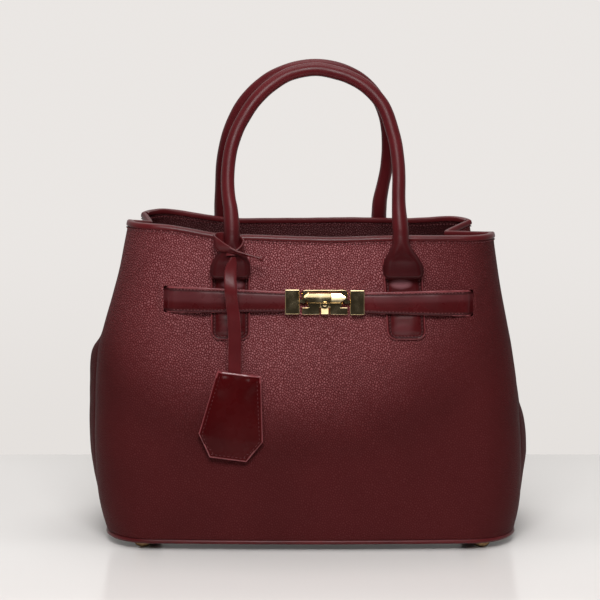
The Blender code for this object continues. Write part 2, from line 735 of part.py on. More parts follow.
def build_handle_base(name, leg_x, tab_x, side):
    """The flared end of a leg, stitched over the tab; its flat top carries the bending leg."""
    rings = []
    right = Vector((1, 0, 0))
    steps = [(share, 1.0, 1.0) for share in FLARE_ROWS] + [(1.0, FLARE_END_PLUMP, FLARE_END_NARROW)]
    for share, plump, narrow in steps:
        centre, wide, thick = flare_section(leg_x, tab_x, side, share, plump)
        tilt = handle_up(side).lerp(Vector((0, 0, 1)), ease(share / 0.3)).normalized()
        across = right.cross(tilt)
        if share == 0.0:
            centre = handle_hinge(leg_x, side) - handle_up(side) * (HANDLE_RADIUS + GAP)
        ring = []
        for corner in range(FLARE_SIDES):
            angle = 2 * math.pi * (corner + 0.5) / FLARE_SIDES
            power = lerp(1.0, FLARE_SQUARENESS, ease(share))
            c, s = math.cos(angle), math.sin(angle)
            c = math.copysign(abs(c) ** power, c)
            s = math.copysign(abs(s) ** power, s)
            ring.append(centre + right * (wide * narrow * c) + across * (thick * s))
        rings.append(ring)
    loft(name, rings, SMOOTH, smooth=50)


def build_tab(name, x, lean, side):
    """The stitched tab on the panel below a handle leg, with round lower corners."""
    top = FRONT_RIM_HEIGHT - FLARE_DROP + TAB_HIDDEN_LENGTH
    bottom = top - TAB_LENGTH
    rises = [TAB_CORNER_RADIUS * (1 - math.cos(math.radians(angle))) for angle in (0, 35, 62, 90)]
    body = TAB_LENGTH - TAB_CORNER_RADIUS
    rises += [TAB_CORNER_RADIUS + body * share for share in (0.2, 0.4, 0.6, 0.8, 1.0)]
    grids = ([], [])
    for rise in rises:
        drawn = TAB_CORNER_RADIUS - min(rise, TAB_CORNER_RADIUS)
        width = TAB_WIDTH / 2 - TAB_CORNER_RADIUS
        width += math.sqrt(max(TAB_CORNER_RADIUS ** 2 - drawn ** 2, 0.0))
        middle = x + lean * (1 - rise / (TAB_LENGTH - TAB_HIDDEN_LENGTH))
        for grid, lift in zip(grids, (GAP + TAB_THICKNESS, GAP)):
            grid.append([skin_point(middle + width * (column / 2 - 1), bottom + rise, side, lift)
                         for column in range(5)])
    shell(name, grids[0], grids[1], SMOOTH)


def belt_level(x):
    """Height of the belt's middle line: it runs from slit to clasp to slit, not quite level."""
    if x < CLASP_X:
        return BELT_HEIGHT + LEFT_SLIT_RISE * (x - CLASP_X) / (LEFT_SLIT_X - CLASP_X)
    return BELT_HEIGHT - RIGHT_SLIT_DROP * (x - CLASP_X) / (RIGHT_SLIT_X - CLASP_X)


def belt_half_width(x, slit_x):
    share = (x - CLASP_X) / (slit_x - CLASP_X)
    return lerp(BELT_INNER_WIDTH, BELT_OUTER_WIDTH, ease(share * 1.15 - 0.1)) / 2


def belt_lift(x, tab_edge, slit_x):
    """Distance from the skin to the belt's back: over the tabs it is carried by them."""
    side = 1 if slit_x > 0 else -1
    leaving = slit_x - side * SLIT_WIDTH / 2
    share = (leaving - x) / (leaving - (tab_edge + side * BELT_LANDING))
    return lerp(GAP, TAB_THICKNESS + 2 * GAP, ease(share))


def strap(name, stations, carrier=None):
    """A flat belt run over (x, half width, back lift, thickness) stations along the front skin."""
    rings = []
    for x, half, lift, thickness in stations:
        level = belt_level(x)
        ring = []
        for up, out in ((-half, 0), (-half, 1), (half, 1), (half, 0)):
            ring.append(skin_point(x, level + up, FRONT, lift + thickness * out))
        rings.append(ring)
    return loft(name, rings, SMOOTH, carrier)


def strap_round_end(hinge, reach, towards):
    """Short stations that round the end of a strap about its bending line."""
    radius = BELT_THICKNESS / 2
    stations = []
    for angle in (80, 45, 0):
        a = math.radians(angle)
        stations.append((hinge - towards * radius * math.sin(a), reach,
                         radius * (1 - math.cos(a)), BELT_THICKNESS * math.cos(a)))
    return stations


def spaced(first, last, count):
    return [lerp(first, last, step / (count - 1)) for step in range(count)]


def build_belt():
    """Left belt, its free end past the lace, the right belt, and its anchor in the slit."""
    left_tab = FRONT_HANDLE_X - HANDLE_SPAN / 2 + LEFT_TAB_SPLAY - TAB_WIDTH / 2
    right_tab = FRONT_HANDLE_X + HANDLE_SPAN / 2 + RIGHT_TAB_SPLAY + RIGHT_TAB_LEAN + TAB_WIDTH / 2
    right_bend = RIGHT_SLIT_X - RIGHT_BEND_OFFSET
    cap = PLATE_WIDTH / 2 + CAP_TO_PLATE + CAP_LENGTH - CAP_POCKET_DEPTH + GAP
    left_end = CLASP_X - cap
    right_end = CLASP_X + cap
    clear = BELT_THICKNESS / 2 + GAP

    def run(places, slit_x, tab_edge):
        return [(x, belt_half_width(x, slit_x), belt_lift(x, tab_edge, slit_x), BELT_THICKNESS)
                for x in places]

    def tail(slit_x, side):
        half = BELT_OUTER_WIDTH / 2
        behind = -PANEL_THICKNESS - 1.5 * GAP - BELT_TAIL_THICKNESS
        thin = BELT_TAIL_THICKNESS
        reach = side * (SLIT_WIDTH / 2 - SLIT_MARGIN)
        return [(slit_x + reach + side * BELT_TAIL_LENGTH, half, behind, thin),
                (slit_x + reach, half, behind, thin), (slit_x - reach, half, GAP, 1.5 * thin)]

    leaving = LEFT_SLIT_X + SLIT_WIDTH
    places = [leaving, leaving + BELT_RAMP] + spaced(left_tab - BELT_RAMP, LEFT_BEND_X - clear, 5)
    strap("belt_left", tail(LEFT_SLIT_X, LEFT) + run(places, LEFT_SLIT_X, left_tab))
    anchor_end = right_bend + clear
    places = [RIGHT_SLIT_X - SLIT_WIDTH, (RIGHT_SLIT_X - SLIT_WIDTH + anchor_end) / 2, anchor_end]
    strap("belt_right_anchor", tail(RIGHT_SLIT_X, RIGHT) + run(places, RIGHT_SLIT_X, right_tab))

    for name, bend, end, slit_x, tab_edge, side, steps in (
            ("belt_left_end", LEFT_BEND_X, left_end, LEFT_SLIT_X, left_tab, RIGHT, 5),
            ("belt_right", right_bend, right_end, RIGHT_SLIT_X, right_tab, LEFT, 8)):
        lift = belt_lift(bend, tab_edge, slit_x)
        middle = skin_point(bend, belt_level(bend), FRONT, lift + BELT_THICKNESS / 2)
        carrier = pivot(name + "_pivot", middle)
        half = belt_half_width(bend, slit_x)
        stations = [(x, half, lift + rise, thickness)
                    for x, half, rise, thickness in strap_round_end(bend, half, side)]
        stations += run(spaced(bend + side * BELT_FIRST_STEP, end, steps), slit_x, tab_edge)
        strap(name, stations, carrier)
        build_cap(name.replace("_end", "").replace("belt", "belt_cap"), -side, carrier)


def build_cap(name, side, carrier):
    """The metal cap on a belt end, with a pocket for the strap and a round knob for the plate."""
    near = PLATE_WIDTH / 2 + CAP_TO_PLATE
    far = near + CAP_LENGTH
    seat = Seat(CLASP_X + side * (near + far) / 2, belt_level(CLASP_X + side * near), FRONT)
    half = CAP_LENGTH / 2
    low = CAP_LIFT
    high = CAP_LIFT + CAP_THICKNESS
    outline = ((-half, -CAP_HEIGHT / 2), (half, -CAP_HEIGHT / 2), (half, CAP_HEIGHT / 2),
               (-half, CAP_HEIGHT / 2))
    cap = prism(name, outline, seat, low, high, GOLD, carrier)
    soften(cap, CAP_CHAMFER)

    pocket_half = BELT_INNER_WIDTH / 2 + 2 * GAP
    pocket = []
    for end in (side * (half + CUTTER_REACH), side * (half - CAP_POCKET_DEPTH)):
        back = TAB_THICKNESS + GAP
        front = back + BELT_THICKNESS + 2 * GAP
        pocket.append([seat.at(end, out, up) for out, up in ((back, -pocket_half), (front, -pocket_half),
                                                            (front, pocket_half), (back, pocket_half))])
    combine(cap, loft(name + "_pocket_cutter", pocket, None, carrier), "DIFFERENCE")

    knob_x = -side * (half + CAP_TO_PLATE + KNOB_INSET)
    knob = []
    outline = []
    neck = NECK_HEIGHT / 2
    root = -side * (half - KNOB_ROOT)
    start = math.asin(neck / KNOB_RADIUS)
    for step in range(11):
        angle = lerp(start, 2 * math.pi - start, step / 10)
        outline.append((knob_x + side * KNOB_RADIUS * math.cos(angle), KNOB_RADIUS * math.sin(angle)))
    outline += [(root, -neck), (root, neck)]
    outline = [(x, z + KNOB_RISE) for x, z in outline]
    for out in knob_span():
        knob.append([seat.at(right, out, up) for right, up in outline])
    combine(cap, loft(name + "_knob_form", knob, None, carrier), "UNION")


def knob_span():
    """The knobs lie in the plate's notches, their faces level with the plate's."""
    high = plate_span()[1]
    return high - KNOB_THICKNESS, high


def plate_span():
    return GAP, GAP + PLATE_THICKNESS


def plate_outline():
    """Rectangle with a slanting notch in each side, round upper corners and a slot below."""
    wide = PLATE_WIDTH / 2
    tall = PLATE_HEIGHT / 2
    slot = PLATE_SLOT_WIDTH / 2
    right = [(wide, -tall), (wide, -NOTCH_LOW), (wide - NOTCH_LOW_DEPTH, -NOTCH_LOW),
             (wide - NOTCH_HIGH_DEPTH, NOTCH_HIGH), (wide, NOTCH_HIGH)]
    for angle in (0, 30, 60, 90):
        a = math.radians(angle)
        right.append((wide - PLATE_CORNER_RADIUS * (1 - math.cos(a)),
                      tall - PLATE_CORNER_RADIUS * (1 - math.sin(a))))
    left = [(-x, z) for x, z in reversed(right)]
    return right + left + [(-slot, -tall), (-slot, -tall + PLATE_SLOT_HEIGHT),
                           (slot, -tall + PLATE_SLOT_HEIGHT), (slot, -tall)]


def build_clasp():
    """The fixed plate, the bar that turns on it, and the rivet through both into the panel."""
    seat = Seat(CLASP_X, BELT_HEIGHT, FRONT)
    plate_low, plate_high = plate_span()
    plate = prism("clasp_plate", plate_outline(), seat, plate_low, plate_high, GOLD)
    seat.origin = seat.at(0, 0, -PIVOT_DROP)
    hub_low = plate_high + GAP
    bar_low = hub_low + HUB_THICKNESS
    axis = pivot("clasp_bar_pivot", seat.at(0, bar_low, 0))
    bore = POST_RADIUS + RUNNING_GAP
    drill = turned("post_hole_cutter", seat, ((bore, -CUTTER_REACH), (bore, bar_low + CUTTER_REACH)),
                   ROUND_SIDES, None)
    combine(plate, drill, "DIFFERENCE")
    soften(plate, PLATE_CHAMFER)

    bar = build_bar(seat, bar_low, axis)
    hub = turned("clasp_hub_form", seat, ((HUB_RADIUS, hub_low), (HUB_TOP_RADIUS, bar_low + FORM_OVERLAP)),
                 ROUND_SIDES, None, axis)
    combine(bar, hub, "UNION")
    stem = ((-STEM_WIDTH / 2, -STEM_LENGTH), (STEM_WIDTH / 2, -STEM_LENGTH), (STEM_WIDTH / 2, 0.0),
            (-STEM_WIDTH / 2, 0.0))
    stem_form = prism("clasp_stem_form", stem, seat, hub_low + GAP, bar_low - FORM_OVERLAP, None, axis)
    combine(bar, stem_form, "UNION")
    combine(bar, drill, "DIFFERENCE")
    room = POST_HEAD_RADIUS + GAP
    sink = turned("post_head_cutter", seat, ((room, bar_low), (room, bar_low + CUTTER_REACH)), ROUND_SIDES,
                  None, axis)
    combine(bar, sink, "DIFFERENCE")

    head_low = bar_low + GAP
    washer_low = -FACING_OFFSET - WASHER_THICKNESS
    profile = ((POST_RADIUS, washer_low), (POST_RADIUS, head_low), (POST_HEAD_RADIUS, head_low),
               (POST_HEAD_RADIUS, head_low + POST_HEAD_THICKNESS / 2),
               (POST_HEAD_RADIUS * 0.6, head_low + POST_HEAD_THICKNESS))
    turned("clasp_post", seat, profile, ROUND_SIDES, GOLD)
    ring = ((bore, washer_low), (CLASP_WASHER_RADIUS, washer_low), (CLASP_WASHER_RADIUS, -FACING_OFFSET),
            (bore, -FACING_OFFSET))
    turned("clasp_washer", seat, ring, ROUND_SIDES, STEEL, bored=True)
    return drill


def build_bar(seat, low, axis):
    """A long faceted bar: flat back, sloping flanks and a narrower polished face."""
    rings = []
    for shrink, out in ((0.0, low), (0.0, low + BAR_THICKNESS / 2), (BAR_FACE_INSET, low + BAR_THICKNESS)):
        wide = BAR_LENGTH / 2 - shrink
        high = BAR_HEIGHT / 2 - shrink
        tip = BAR_TIP_HEIGHT / 2
        outline = []
        for x, z in ((-BAR_POINT, -high), (0.0, -tip), (0.0, tip), (-BAR_POINT, high)):
            outline.append((wide + x, z))
        outline += [(-x, z) for x, z in reversed(outline)]
        rings.append([seat.at(x, out, z + BAR_RISE) for x, z in outline])
    return loft("clasp_turn_bar", rings, GOLD, axis, smooth=20)


def lace_line():
    """The lace hangs in front of the left leg of the front handle."""
    leg_x = FRONT_HANDLE_X - HANDLE_SPAN / 2
    low = FRONT_RIM_HEIGHT - LACE_TOP_DROP
    centre, _, thick = flare_section(leg_x, leg_x, FRONT, LACE_FLARE_SHARE)
    y = centre.y - thick - LACE_STANDOFF + LACE_THICKNESS / 2
    return Vector((leg_x + LACE_OFFSET_X, y, low))


def build_lace():
    """A flat lace round the handle leg, its hanging run, and the thick stop sewn on its end."""
    top = lace_line()
    leg_x = FRONT_HANDLE_X - HANDLE_SPAN / 2
    back_y = -RIM_DEPTH / 2 - BINDING_THICKNESS - 2 * GAP - LACE_THICKNESS / 2
    front_y = top.y
    centre_y = (back_y + front_y) / 2
    reach_y = (back_y - front_y) / 2
    reach_x = (LOOP_WIDTH - LACE_THICKNESS) / 2
    foot = top.z + LACE_THICKNESS / 2 + GAP
    line = []
    for step in range(LOOP_STEPS + 1):
        angle = lerp(LOOP_START_ANGLE, LOOP_END_ANGLE, step / LOOP_STEPS)
        front = ease((angle - math.pi) / (math.pi / 2))
        place = Vector((leg_x + reach_x * math.cos(angle), centre_y + reach_y * math.sin(angle), 0))
        half = lerp(LOOP_BAND_HEIGHT, LOOP_FRONT_HEIGHT, front) / 2
        place.z = foot + half + lerp(LOOP_DROP, 0.0, front)
        line.append((place, half))
    for share in (0.35, 0.7, 1.0):
        place = Vector((leg_x + LOOP_TAIL_LENGTH * share, front_y - LOOP_TAIL_LIFT * share, 0))
        half = lerp(LOOP_FRONT_HEIGHT, LOOP_TAIL_HEIGHT, ease(share * 1.4)) / 2
        place.z = foot + half
        line.append((place, half))
    rings = []
    for index, (place, half) in enumerate(line):
        along = line[min(index + 1, len(line) - 1)][0] - line[max(index - 1, 0)][0]
        out = Vector((along.y, -along.x, 0)).normalized() * LACE_THICKNESS / 2
        rise = Vector((0, 0, half))
        rings.append([place - out - rise, place + out - rise, place + out + rise, place - out + rise])
    loft("lace_loop", rings, SMOOTH)

    carrier = pivot("lace_pivot", top)
    fob = fob_seat()
    stations = []
    radius = LACE_THICKNESS / 2
    for angle in (75, 40, 0):
        a = math.radians(angle)
        stations.append((radius * math.sin(a), LACE_WIDTH / 2, radius * math.cos(a)))
    rings = []
    for rise, wide, thick in stations:
        rings.append(strap_ring(top + Vector((0, 0, rise)), wide, thick))
    length = top.z - fob.origin.z
    for share in LACE_ROWS:
        place = top.lerp(fob.origin, share)
        place.x -= LACE_BOW * math.sin(math.pi * share ** 0.4)
        place.z = top.z - length * share
        rings.append(strap_ring(place, LACE_WIDTH / 2, radius))
    stop_top = LACE_FREE_LENGTH + LACE_STOP_TAPER
    for drop, wide, thick in ((LACE_FREE_LENGTH, LACE_WIDTH, LACE_THICKNESS),
                              (stop_top, LACE_STOP_WIDTH, LACE_STOP_THICKNESS),
                              (stop_top + LACE_STOP_LENGTH, LACE_STOP_WIDTH, LACE_STOP_THICKNESS)):
        rings.append(strap_ring(fob.origin - Vector((0, 0, drop)), wide / 2, thick / 2))
    loft("lace_strap", rings, SMOOTH, carrier)


def strap_ring(place, wide, thick):
    corners = ((-wide, thick), (wide, thick), (wide, -thick), (-wide, -thick))
    return [place + Vector((x, y, 0)) for x, y in corners]


def fob_seat():
    """The top edge of the bell, hanging clear of the front panel and tipped to one side."""
    top = lace_line()
    z = top.z - LACE_LENGTH
    lowest = z - FOB_LENGTH
    depth = skin_depth(top.x, lowest, FRONT) + FOB_CAVITY + FOB_LEAF_THICKNESS + 4 * GAP
    seat = Seat(top.x, z, FRONT)
    seat.origin = Vector((top.x + LACE_DRIFT, min(-depth, top.y), z))
    seat.right = Vector((math.cos(FOB_TILT), 0, -math.sin(FOB_TILT)))
    seat.up = Vector((math.sin(FOB_TILT), 0, math.cos(FOB_TILT)))
    seat.out = Vector((0, -1, 0))
    return seat


def fob_half_width(drop):
    """Bell outline: widening to the shoulder and drawn in quickly to the lower edge."""
    if drop <= FOB_SHOULDER:
        return lerp(FOB_TOP_WIDTH, FOB_WIDTH, drop / FOB_SHOULDER) / 2
    share = (drop - FOB_SHOULDER) / (FOB_LENGTH - FOB_SHOULDER)
    return lerp(FOB_WIDTH, FOB_BOTTOM_WIDTH, share) / 2


def build_fob():
    """Two stitched leather leaves that meet at their edges and stand apart round the lace's end."""
    seat = fob_seat()
    carrier = pivot("fob_pivot", seat.origin)
    drops = [share * FOB_SHOULDER for share in FOB_UPPER_ROWS]
    drops += [lerp(FOB_SHOULDER, FOB_LENGTH, share) for share in FOB_LOWER_ROWS]
    for name, side in (("fob_front_leaf", 1), ("fob_back_leaf", -1)):
        outer = []
        inner = []
        for drop in drops:
            half = fob_half_width(drop)
            outer.append([])
            inner.append([])
            for place in FOB_COLUMNS:
                x = place * half + FOB_SHIFT
                if drop < FOB_MOUTH_LENGTH:
                    edge = half + math.copysign(FOB_SHIFT, x)
                    room = 1 - ease((abs(x) - FOB_MOUTH_WIDTH / 2) / (edge - FOB_MOUTH_WIDTH / 2))
                else:
                    room = 1 - abs(place) ** 3
                if drop > FOB_SHOULDER:
                    room *= 1 - ease((drop - FOB_SHOULDER) / (FOB_LENGTH - FOB_SHOULDER))
                apart = GAP / 2 + (FOB_CAVITY - GAP / 2) * room
                outer[-1].append(seat.at(x, side * (apart + FOB_LEAF_THICKNESS), -drop))
                inner[-1].append(seat.at(x, side * apart, -drop))
        shell(name, outer, inner, SMOOTH, carrier)


def build_snap():
    """Two halves of a magnetic snap just below the lining's edge, facing each other across the mouth."""
    near = -LINING_OFFSET - LINING_THICKNESS - GAP
    far = near - SNAP_THICKNESS
    for name, side, radius, tip in (("snap_stud", FRONT, SNAP_NUB_RADIUS, far - SNAP_NUB_LENGTH),
                                    ("snap_socket", BACK, SNAP_NUB_RADIUS + GAP, far + SNAP_NUB_LENGTH)):
        edge = lerp(PANEL_BOTTOM, rim_height(0.0, side), LINING_SHARE)
        seat = Seat(0.0, edge - SNAP_TO_LINING_EDGE - SNAP_RADIUS, side)
        profile = ((SNAP_RADIUS, near), (SNAP_RADIUS, far + SNAP_CHAMFER), (SNAP_RADIUS - SNAP_CHAMFER, far),
                   (radius, far), (radius, tip))
        turned(name, seat, profile, ROUND_SIDES, GOLD)


def cut_front_panel(drill):
    """The two belt slits and the rivet hole through the front panel."""
    panel = bpy.data.objects["front_panel"]
    half = BELT_OUTER_WIDTH / 2 + 2 * GAP
    for name, x in (("left_slit_cutter", LEFT_SLIT_X), ("right_slit_cutter", RIGHT_SLIT_X)):
        z = belt_level(x)
        depth = skin_depth(x, z, FRONT)
        low = (x - SLIT_WIDTH / 2, -depth - CUTTER_REACH, z - half)
        high = (x + SLIT_WIDTH / 2, -depth + CUTTER_REACH, z + half)
        combine(panel, block(name, low, high), "DIFFERENCE")
    combine(panel, drill, "DIFFERENCE")


def centre_on_floor():
    """Moves the whole bag so that the middle of its box stands over the origin."""
    low = Vector((1.0, 1.0))
    high = Vector((-1.0, -1.0))
    bpy.context.view_layer.update()
    for item in bpy.data.objects:
        if item.type != "MESH" or item.hide_render:
            continue
        for vertex in item.data.vertices:
            place = item.matrix_world @ vertex.co
            low = Vector((min(low.x, place.x), min(low.y, place.y)))
            high = Vector((max(high.x, place.x), max(high.y, place.y)))
    middle = (low + high) / 2
    bpy.data.objects["bag"].location = (-middle.x, -middle.y, 0.0)


def main():
    clear_scene()
    bag = bpy.data.objects.new("bag", None)
    bpy.context.collection.objects.link(bag)
    build_walls()
    build_lining()
    build_bottom()
    build_handle("front", FRONT_HANDLE_X, FRONT_HANDLE_SKEW, FRONT)
    build_handle("back", BACK_HANDLE_X, BACK_HANDLE_SKEW, BACK)
    build_belt()
    drill = build_clasp()
    cut_front_panel(drill)
    build_lace()
    build_fob()
    build_snap()
    centre_on_floor()


main()
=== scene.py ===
import math

import bmesh
import bpy
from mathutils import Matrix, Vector, noise


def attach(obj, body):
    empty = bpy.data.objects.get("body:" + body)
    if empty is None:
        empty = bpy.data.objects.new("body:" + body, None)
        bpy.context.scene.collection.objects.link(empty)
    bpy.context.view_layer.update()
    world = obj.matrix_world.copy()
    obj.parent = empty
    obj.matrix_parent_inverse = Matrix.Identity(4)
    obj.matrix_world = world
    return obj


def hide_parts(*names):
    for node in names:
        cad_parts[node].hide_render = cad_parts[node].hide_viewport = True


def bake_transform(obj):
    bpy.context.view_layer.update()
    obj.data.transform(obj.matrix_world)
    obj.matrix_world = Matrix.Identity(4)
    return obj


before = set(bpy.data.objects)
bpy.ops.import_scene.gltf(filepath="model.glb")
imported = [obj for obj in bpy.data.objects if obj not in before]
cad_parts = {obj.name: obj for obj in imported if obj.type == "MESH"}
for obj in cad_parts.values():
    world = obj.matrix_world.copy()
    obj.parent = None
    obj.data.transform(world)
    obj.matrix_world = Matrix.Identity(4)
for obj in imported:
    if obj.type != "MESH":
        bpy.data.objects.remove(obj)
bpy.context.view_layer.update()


def mm(*rows):
    """Rows of millimetres, in metres."""
    return [tuple(round(value / 1000, 7) for value in row) for row in rows]


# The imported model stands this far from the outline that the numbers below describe
SHIFT = Vector((0.003382, 0.001592, 0.0))

# Bag body
BASE_WIDTH = 0.320
BASE_DEPTH = 0.150
BASE_CORNER_RADIUS = 0.038
RIM_WIDTH = 0.280
RIM_DEPTH = 0.104
RIM_CORNER_RADIUS = 0.027
FRONT_RIM_HEIGHT = 0.2360
BACK_RIM_HEIGHT = 0.2395
LEFT_RIM_HEIGHT = 0.2455
RIM_LIFT_START = 0.055
RIM_LIFT_RUN = 0.055
FRONT_BOW = 0.003
DEPTH_BULGE = 0.0025
# How a side swells out (amount, skew, power), and how its gusset folds (fold, bulge, where the fold starts)
LEFT_FULLNESS = (0.0185, 0.75, 1.2)
RIGHT_FULLNESS = (0.0118, 0.62, 1.5)
LEFT_BACK_TUCK = 0.0065
RIGHT_BACK_TUCK = 0.0150
BACK_TUCK_START = 0.55
LEFT_GUSSET = (0.010, 0.0040, 0.50)
RIGHT_GUSSET = (0.026, 0.0030, 0.28)
GUSSET_DIP = 0.004
FOLD_SOFTNESS = 0.07
PANEL_BOTTOM = 0.0090
WALL_HEIGHT = FRONT_RIM_HEIGHT - PANEL_BOTTOM
# How far up and down the skin's slope is measured
SLOPE_STEP = 0.004

# Soft departures from the plain form: (place, amount) pairs
FRONT_RISE = mm((-138, 2.2), (-118, 2.1), (-108, 1.2), (-99, 0.5), (-85, 1.3), (-75.5, 2.1), (-52, 3.7),
                (-38, 3.3), (-19, 2.6), (-2, 2.1), (13, 1.7), (32, 2), (51, 2.7), (60, 3), (88, 2.8),
                (117, 2.6), (131, 2.3))
BACK_RISE = mm((-129, 2.7), (-121, 3), (-113, 2.1), (-105, 1), (-97, 0.3), (-89, 0), (-1.4, 0.5), (30, 1),
               (78, 0.4), (94, 1.3), (102, 2.1), (110, 2.6), (118, 3), (126, 2.6))
RISE_START = 0.86
LEFT_TRIM = mm((10, 0), (29, -0.8), (53, -2.2), (77, -2.5), (100, -2.2), (124, 0), (135, 1), (147, 2.2),
               (155, 1.6), (165, 1.4), (180, 0.7), (200, 0.8), (220, 1.6), (236, 1.4))
RIGHT_TRIM = mm((10, -2.6), (30, -3), (50, -3.6), (70, -3.6), (90, -3), (108, -1.8), (124, -1.2), (140, -0.7),
                (155, 0), (236, -0.6))
LEFT_SWELL = mm((20, 0), (30, 1), (45, 2.2), (60, 2.6), (80, 2.2), (100, 2.1), (118, 2.8), (132, 4.3),
                (139, 4.7), (144, 3.7), (148.5, 1.2), (153, 0))
RIGHT_SWELL = mm((8, 0), (20, 0.8), (29, 1.2), (46.5, 1.8), (62, 3.4), (79, 2.9), (92, 2.4), (99, 1),
                 (103, 0))

# Leather, lining and clearances
PANEL_THICKNESS = 0.0020
FACING_THICKNESS = 0.0011
FACING_BOTTOM = 0.20215
LINING_THICKNESS = 0.0008
LINING_OVERLAP = 0.003
LINING_FLOOR = 0.0108
BINDING_THICKNESS = 0.0008
BINDING_HEIGHT = 0.0028
GAP = 0.0003
BINDING_CROWN = 0.0010
BINDING_SHOULDER = 0.0008
STITCH_DROP = 0.0015
INSIDE_STITCH_DROP = 0.0024
TAPE_THICKNESS = 0.0007
# A panel's outermost columns are drawn in by up to this much; its inner face follows this share of the relief
EDGE_COLUMNS = 2
EDGE_DRAW = 0.0006
INNER_RELIEF = 0.8

# The leather's relief is calm behind the belt, to this far past its slits, behind the fob (x range, middle
# height, half height), and round the tabs of both panels
BELT_CALM = 0.004
FOB_PATCH = (-0.095, -0.02, 0.120, 0.055)
TAB_MIDDLES = (-0.062, 0.069)

# The places of these materials in a piece's list of them
EDGE_SLOT = 1
THREAD_SLOT = 2
GROOVE_SHADE_SLOT = 3

# Bottom; a foot is turned from (radius, height) pairs
BASE_THICKNESS = 0.0020
FOOT_HEIGHT = 0.0048
FOOT_INSET_X = 0.030
FOOT_INSET_Y = 0.016
FOOT_PROFILE = mm((0, 0), (2.2, 0.02), (4, 0.3), (5.4, 1), (6.3, 2), (6.8, 3.3), (6.65, 4.4), (6.2, 4.8),
                  (1.5, 4.8), (1.5, 10.8))
PIPING_RADIUS = 0.0018
PIPING_HEIGHT = 0.0069

# Handles; an arch is (place across, rise above the hinge) pairs along the middle of the rolled part
HANDLE_SPAN = 0.128
HANDLE_RADIUS = 0.0052
HANDLE_SIDES = 36
HANDLE_LEAN = math.radians(11.8)
HANDLE_HINGE_HEIGHT = 0.247
HANDLE_HINGE_DEPTH = 0.0600
FRONT_HANDLE_X = 0.001
BACK_HANDLE_X = -0.0095
FRONT_ARCH = mm((-60.6, -2.8), (-60.8, 4), (-61.5, 14.2), (-62.5, 20.3), (-63.4, 28.2), (-63.7, 36.1),
                (-63.4, 44), (-62.6, 51.9), (-61.2, 59.9), (-58.8, 68), (-55.6, 76.1), (-51.3, 84),
                (-46.3, 92), (-39.7, 100), (-30.4, 108.3), (-16.7, 116.4), (2.7, 119.9), (20.5, 116.5),
                (30.5, 112.6), (37.8, 108.4), (43, 104.2), (47.4, 99.8), (52.6, 93), (56.2, 85.5),
                (59.3, 75.9), (62.2, 65.1), (63.6, 56), (64.6, 46), (64.9, 36.1), (64.7, 26), (64.8, 16),
                (65.4, 6), (66.2, -2.8))
BACK_ARCH = mm((-72.6, -2.8), (-72.5, 7.5), (-72.3, 24.2), (-71.2, 40.5), (-68.1, 56.6), (-64.5, 68.4),
               (-59.2, 80.2), (-54.7, 87.8), (-48.7, 95.4), (-40.8, 103), (-29.2, 110.9), (-13, 117),
               (4, 119), (21, 116.2), (35.5, 109.5), (46, 100.5), (53.5, 89.5), (58, 77.5), (59.9, 66.7),
               (60.6, 58), (60.8, 49.3), (60.3, 40.6), (59.4, 31.9), (57.8, 23.2), (56.2, 14.8), (54.8, 6.4),
               (54.3, -2.8))
CORD_RADIUS = 0.0034
CORD_START = 0.0155
SEAM_START = 0.014
FLARE_WIDTH = 0.0305
FLARE_BOTTOM = 0.2085
TAB_WIDTH = 0.0298
TAB_TOP = 0.2225
TAB_BOTTOM = 0.1615
TAB_THICKNESS = 0.0026
TAB_CORNER_RADIUS = 0.007
LEFT_TAB_SPLAY = 0.0010
RIGHT_TAB_SPLAY = 0.0036
RIGHT_TAB_LEAN = 0.0030
TAB_SETBACK = 0.0027
TAB_EDGE = 0.0012
TAB_GROOVE = (0.0019, 0.0034)
TAB_PROFILE = mm((0, 1.2), (0.5, 2.3), (1, 2.6), (1.7, 2.4), (2.4, 1.6), (3.4, 1.7), (6, 2.6), (11, 2.9))

# Belt; its entry is the stations from behind a slit to just past it, by distance from the slit
BELT_THICKNESS = 0.0024
BELT_OUTER_WIDTH = 0.0195
BELT_INNER_WIDTH = 0.0149
LEFT_SLIT_X = -0.1112
RIGHT_SLIT_X = 0.1205
SLIT_WIDTH = 0.004
SLIT_OPENING = 0.0030
SLIT_CUT = (-0.085, -0.045)
LEFT_BEND_X = -0.0440
RIGHT_BEND_X = 0.1100
BELT_HEIGHT = 0.1901
LEFT_SLIT_RISE = 0.0020
RIGHT_SLIT_DROP = 0.0013
CLASP_X = 0.0093
BELT_TO_CLASP = 0.0222
PIVOT_DROP = 0.0015
BELT_ENTRY = [-0.0062, -0.0045, -0.0032, -0.0024, -0.0016, -0.0008, 0.0, 0.0008, 0.0016, 0.0024, 0.0032, 0.0042]

# Across the belt, in half widths: its stitches, its groove, where its edge paint starts, and its section
BELT_STITCH_PLACE = 0.79
BELT_GROOVE = (0.70, 0.88)
BELT_EDGE = 0.895
BELT_HALF_SECTION = ((0.0, 1.05), (0.25, 1.045), (0.50, 1.02), (0.64, 0.97), (0.71, 0.91), (0.755, 0.84),
                     (0.79, 0.81), (0.825, 0.84), (0.86, 0.92), (0.90, 0.98), (0.93, 0.99), (0.965, 0.95),
                     (0.99, 0.78), (1.0, 0.45), (1.0, 0.15), (0.97, 0.0), (0.5, 0.0))
BELT_SECTION = (tuple((-up, out) for up, out in reversed(BELT_HALF_SECTION[1:])) + BELT_HALF_SECTION
                + ((0.0, 0.0),))

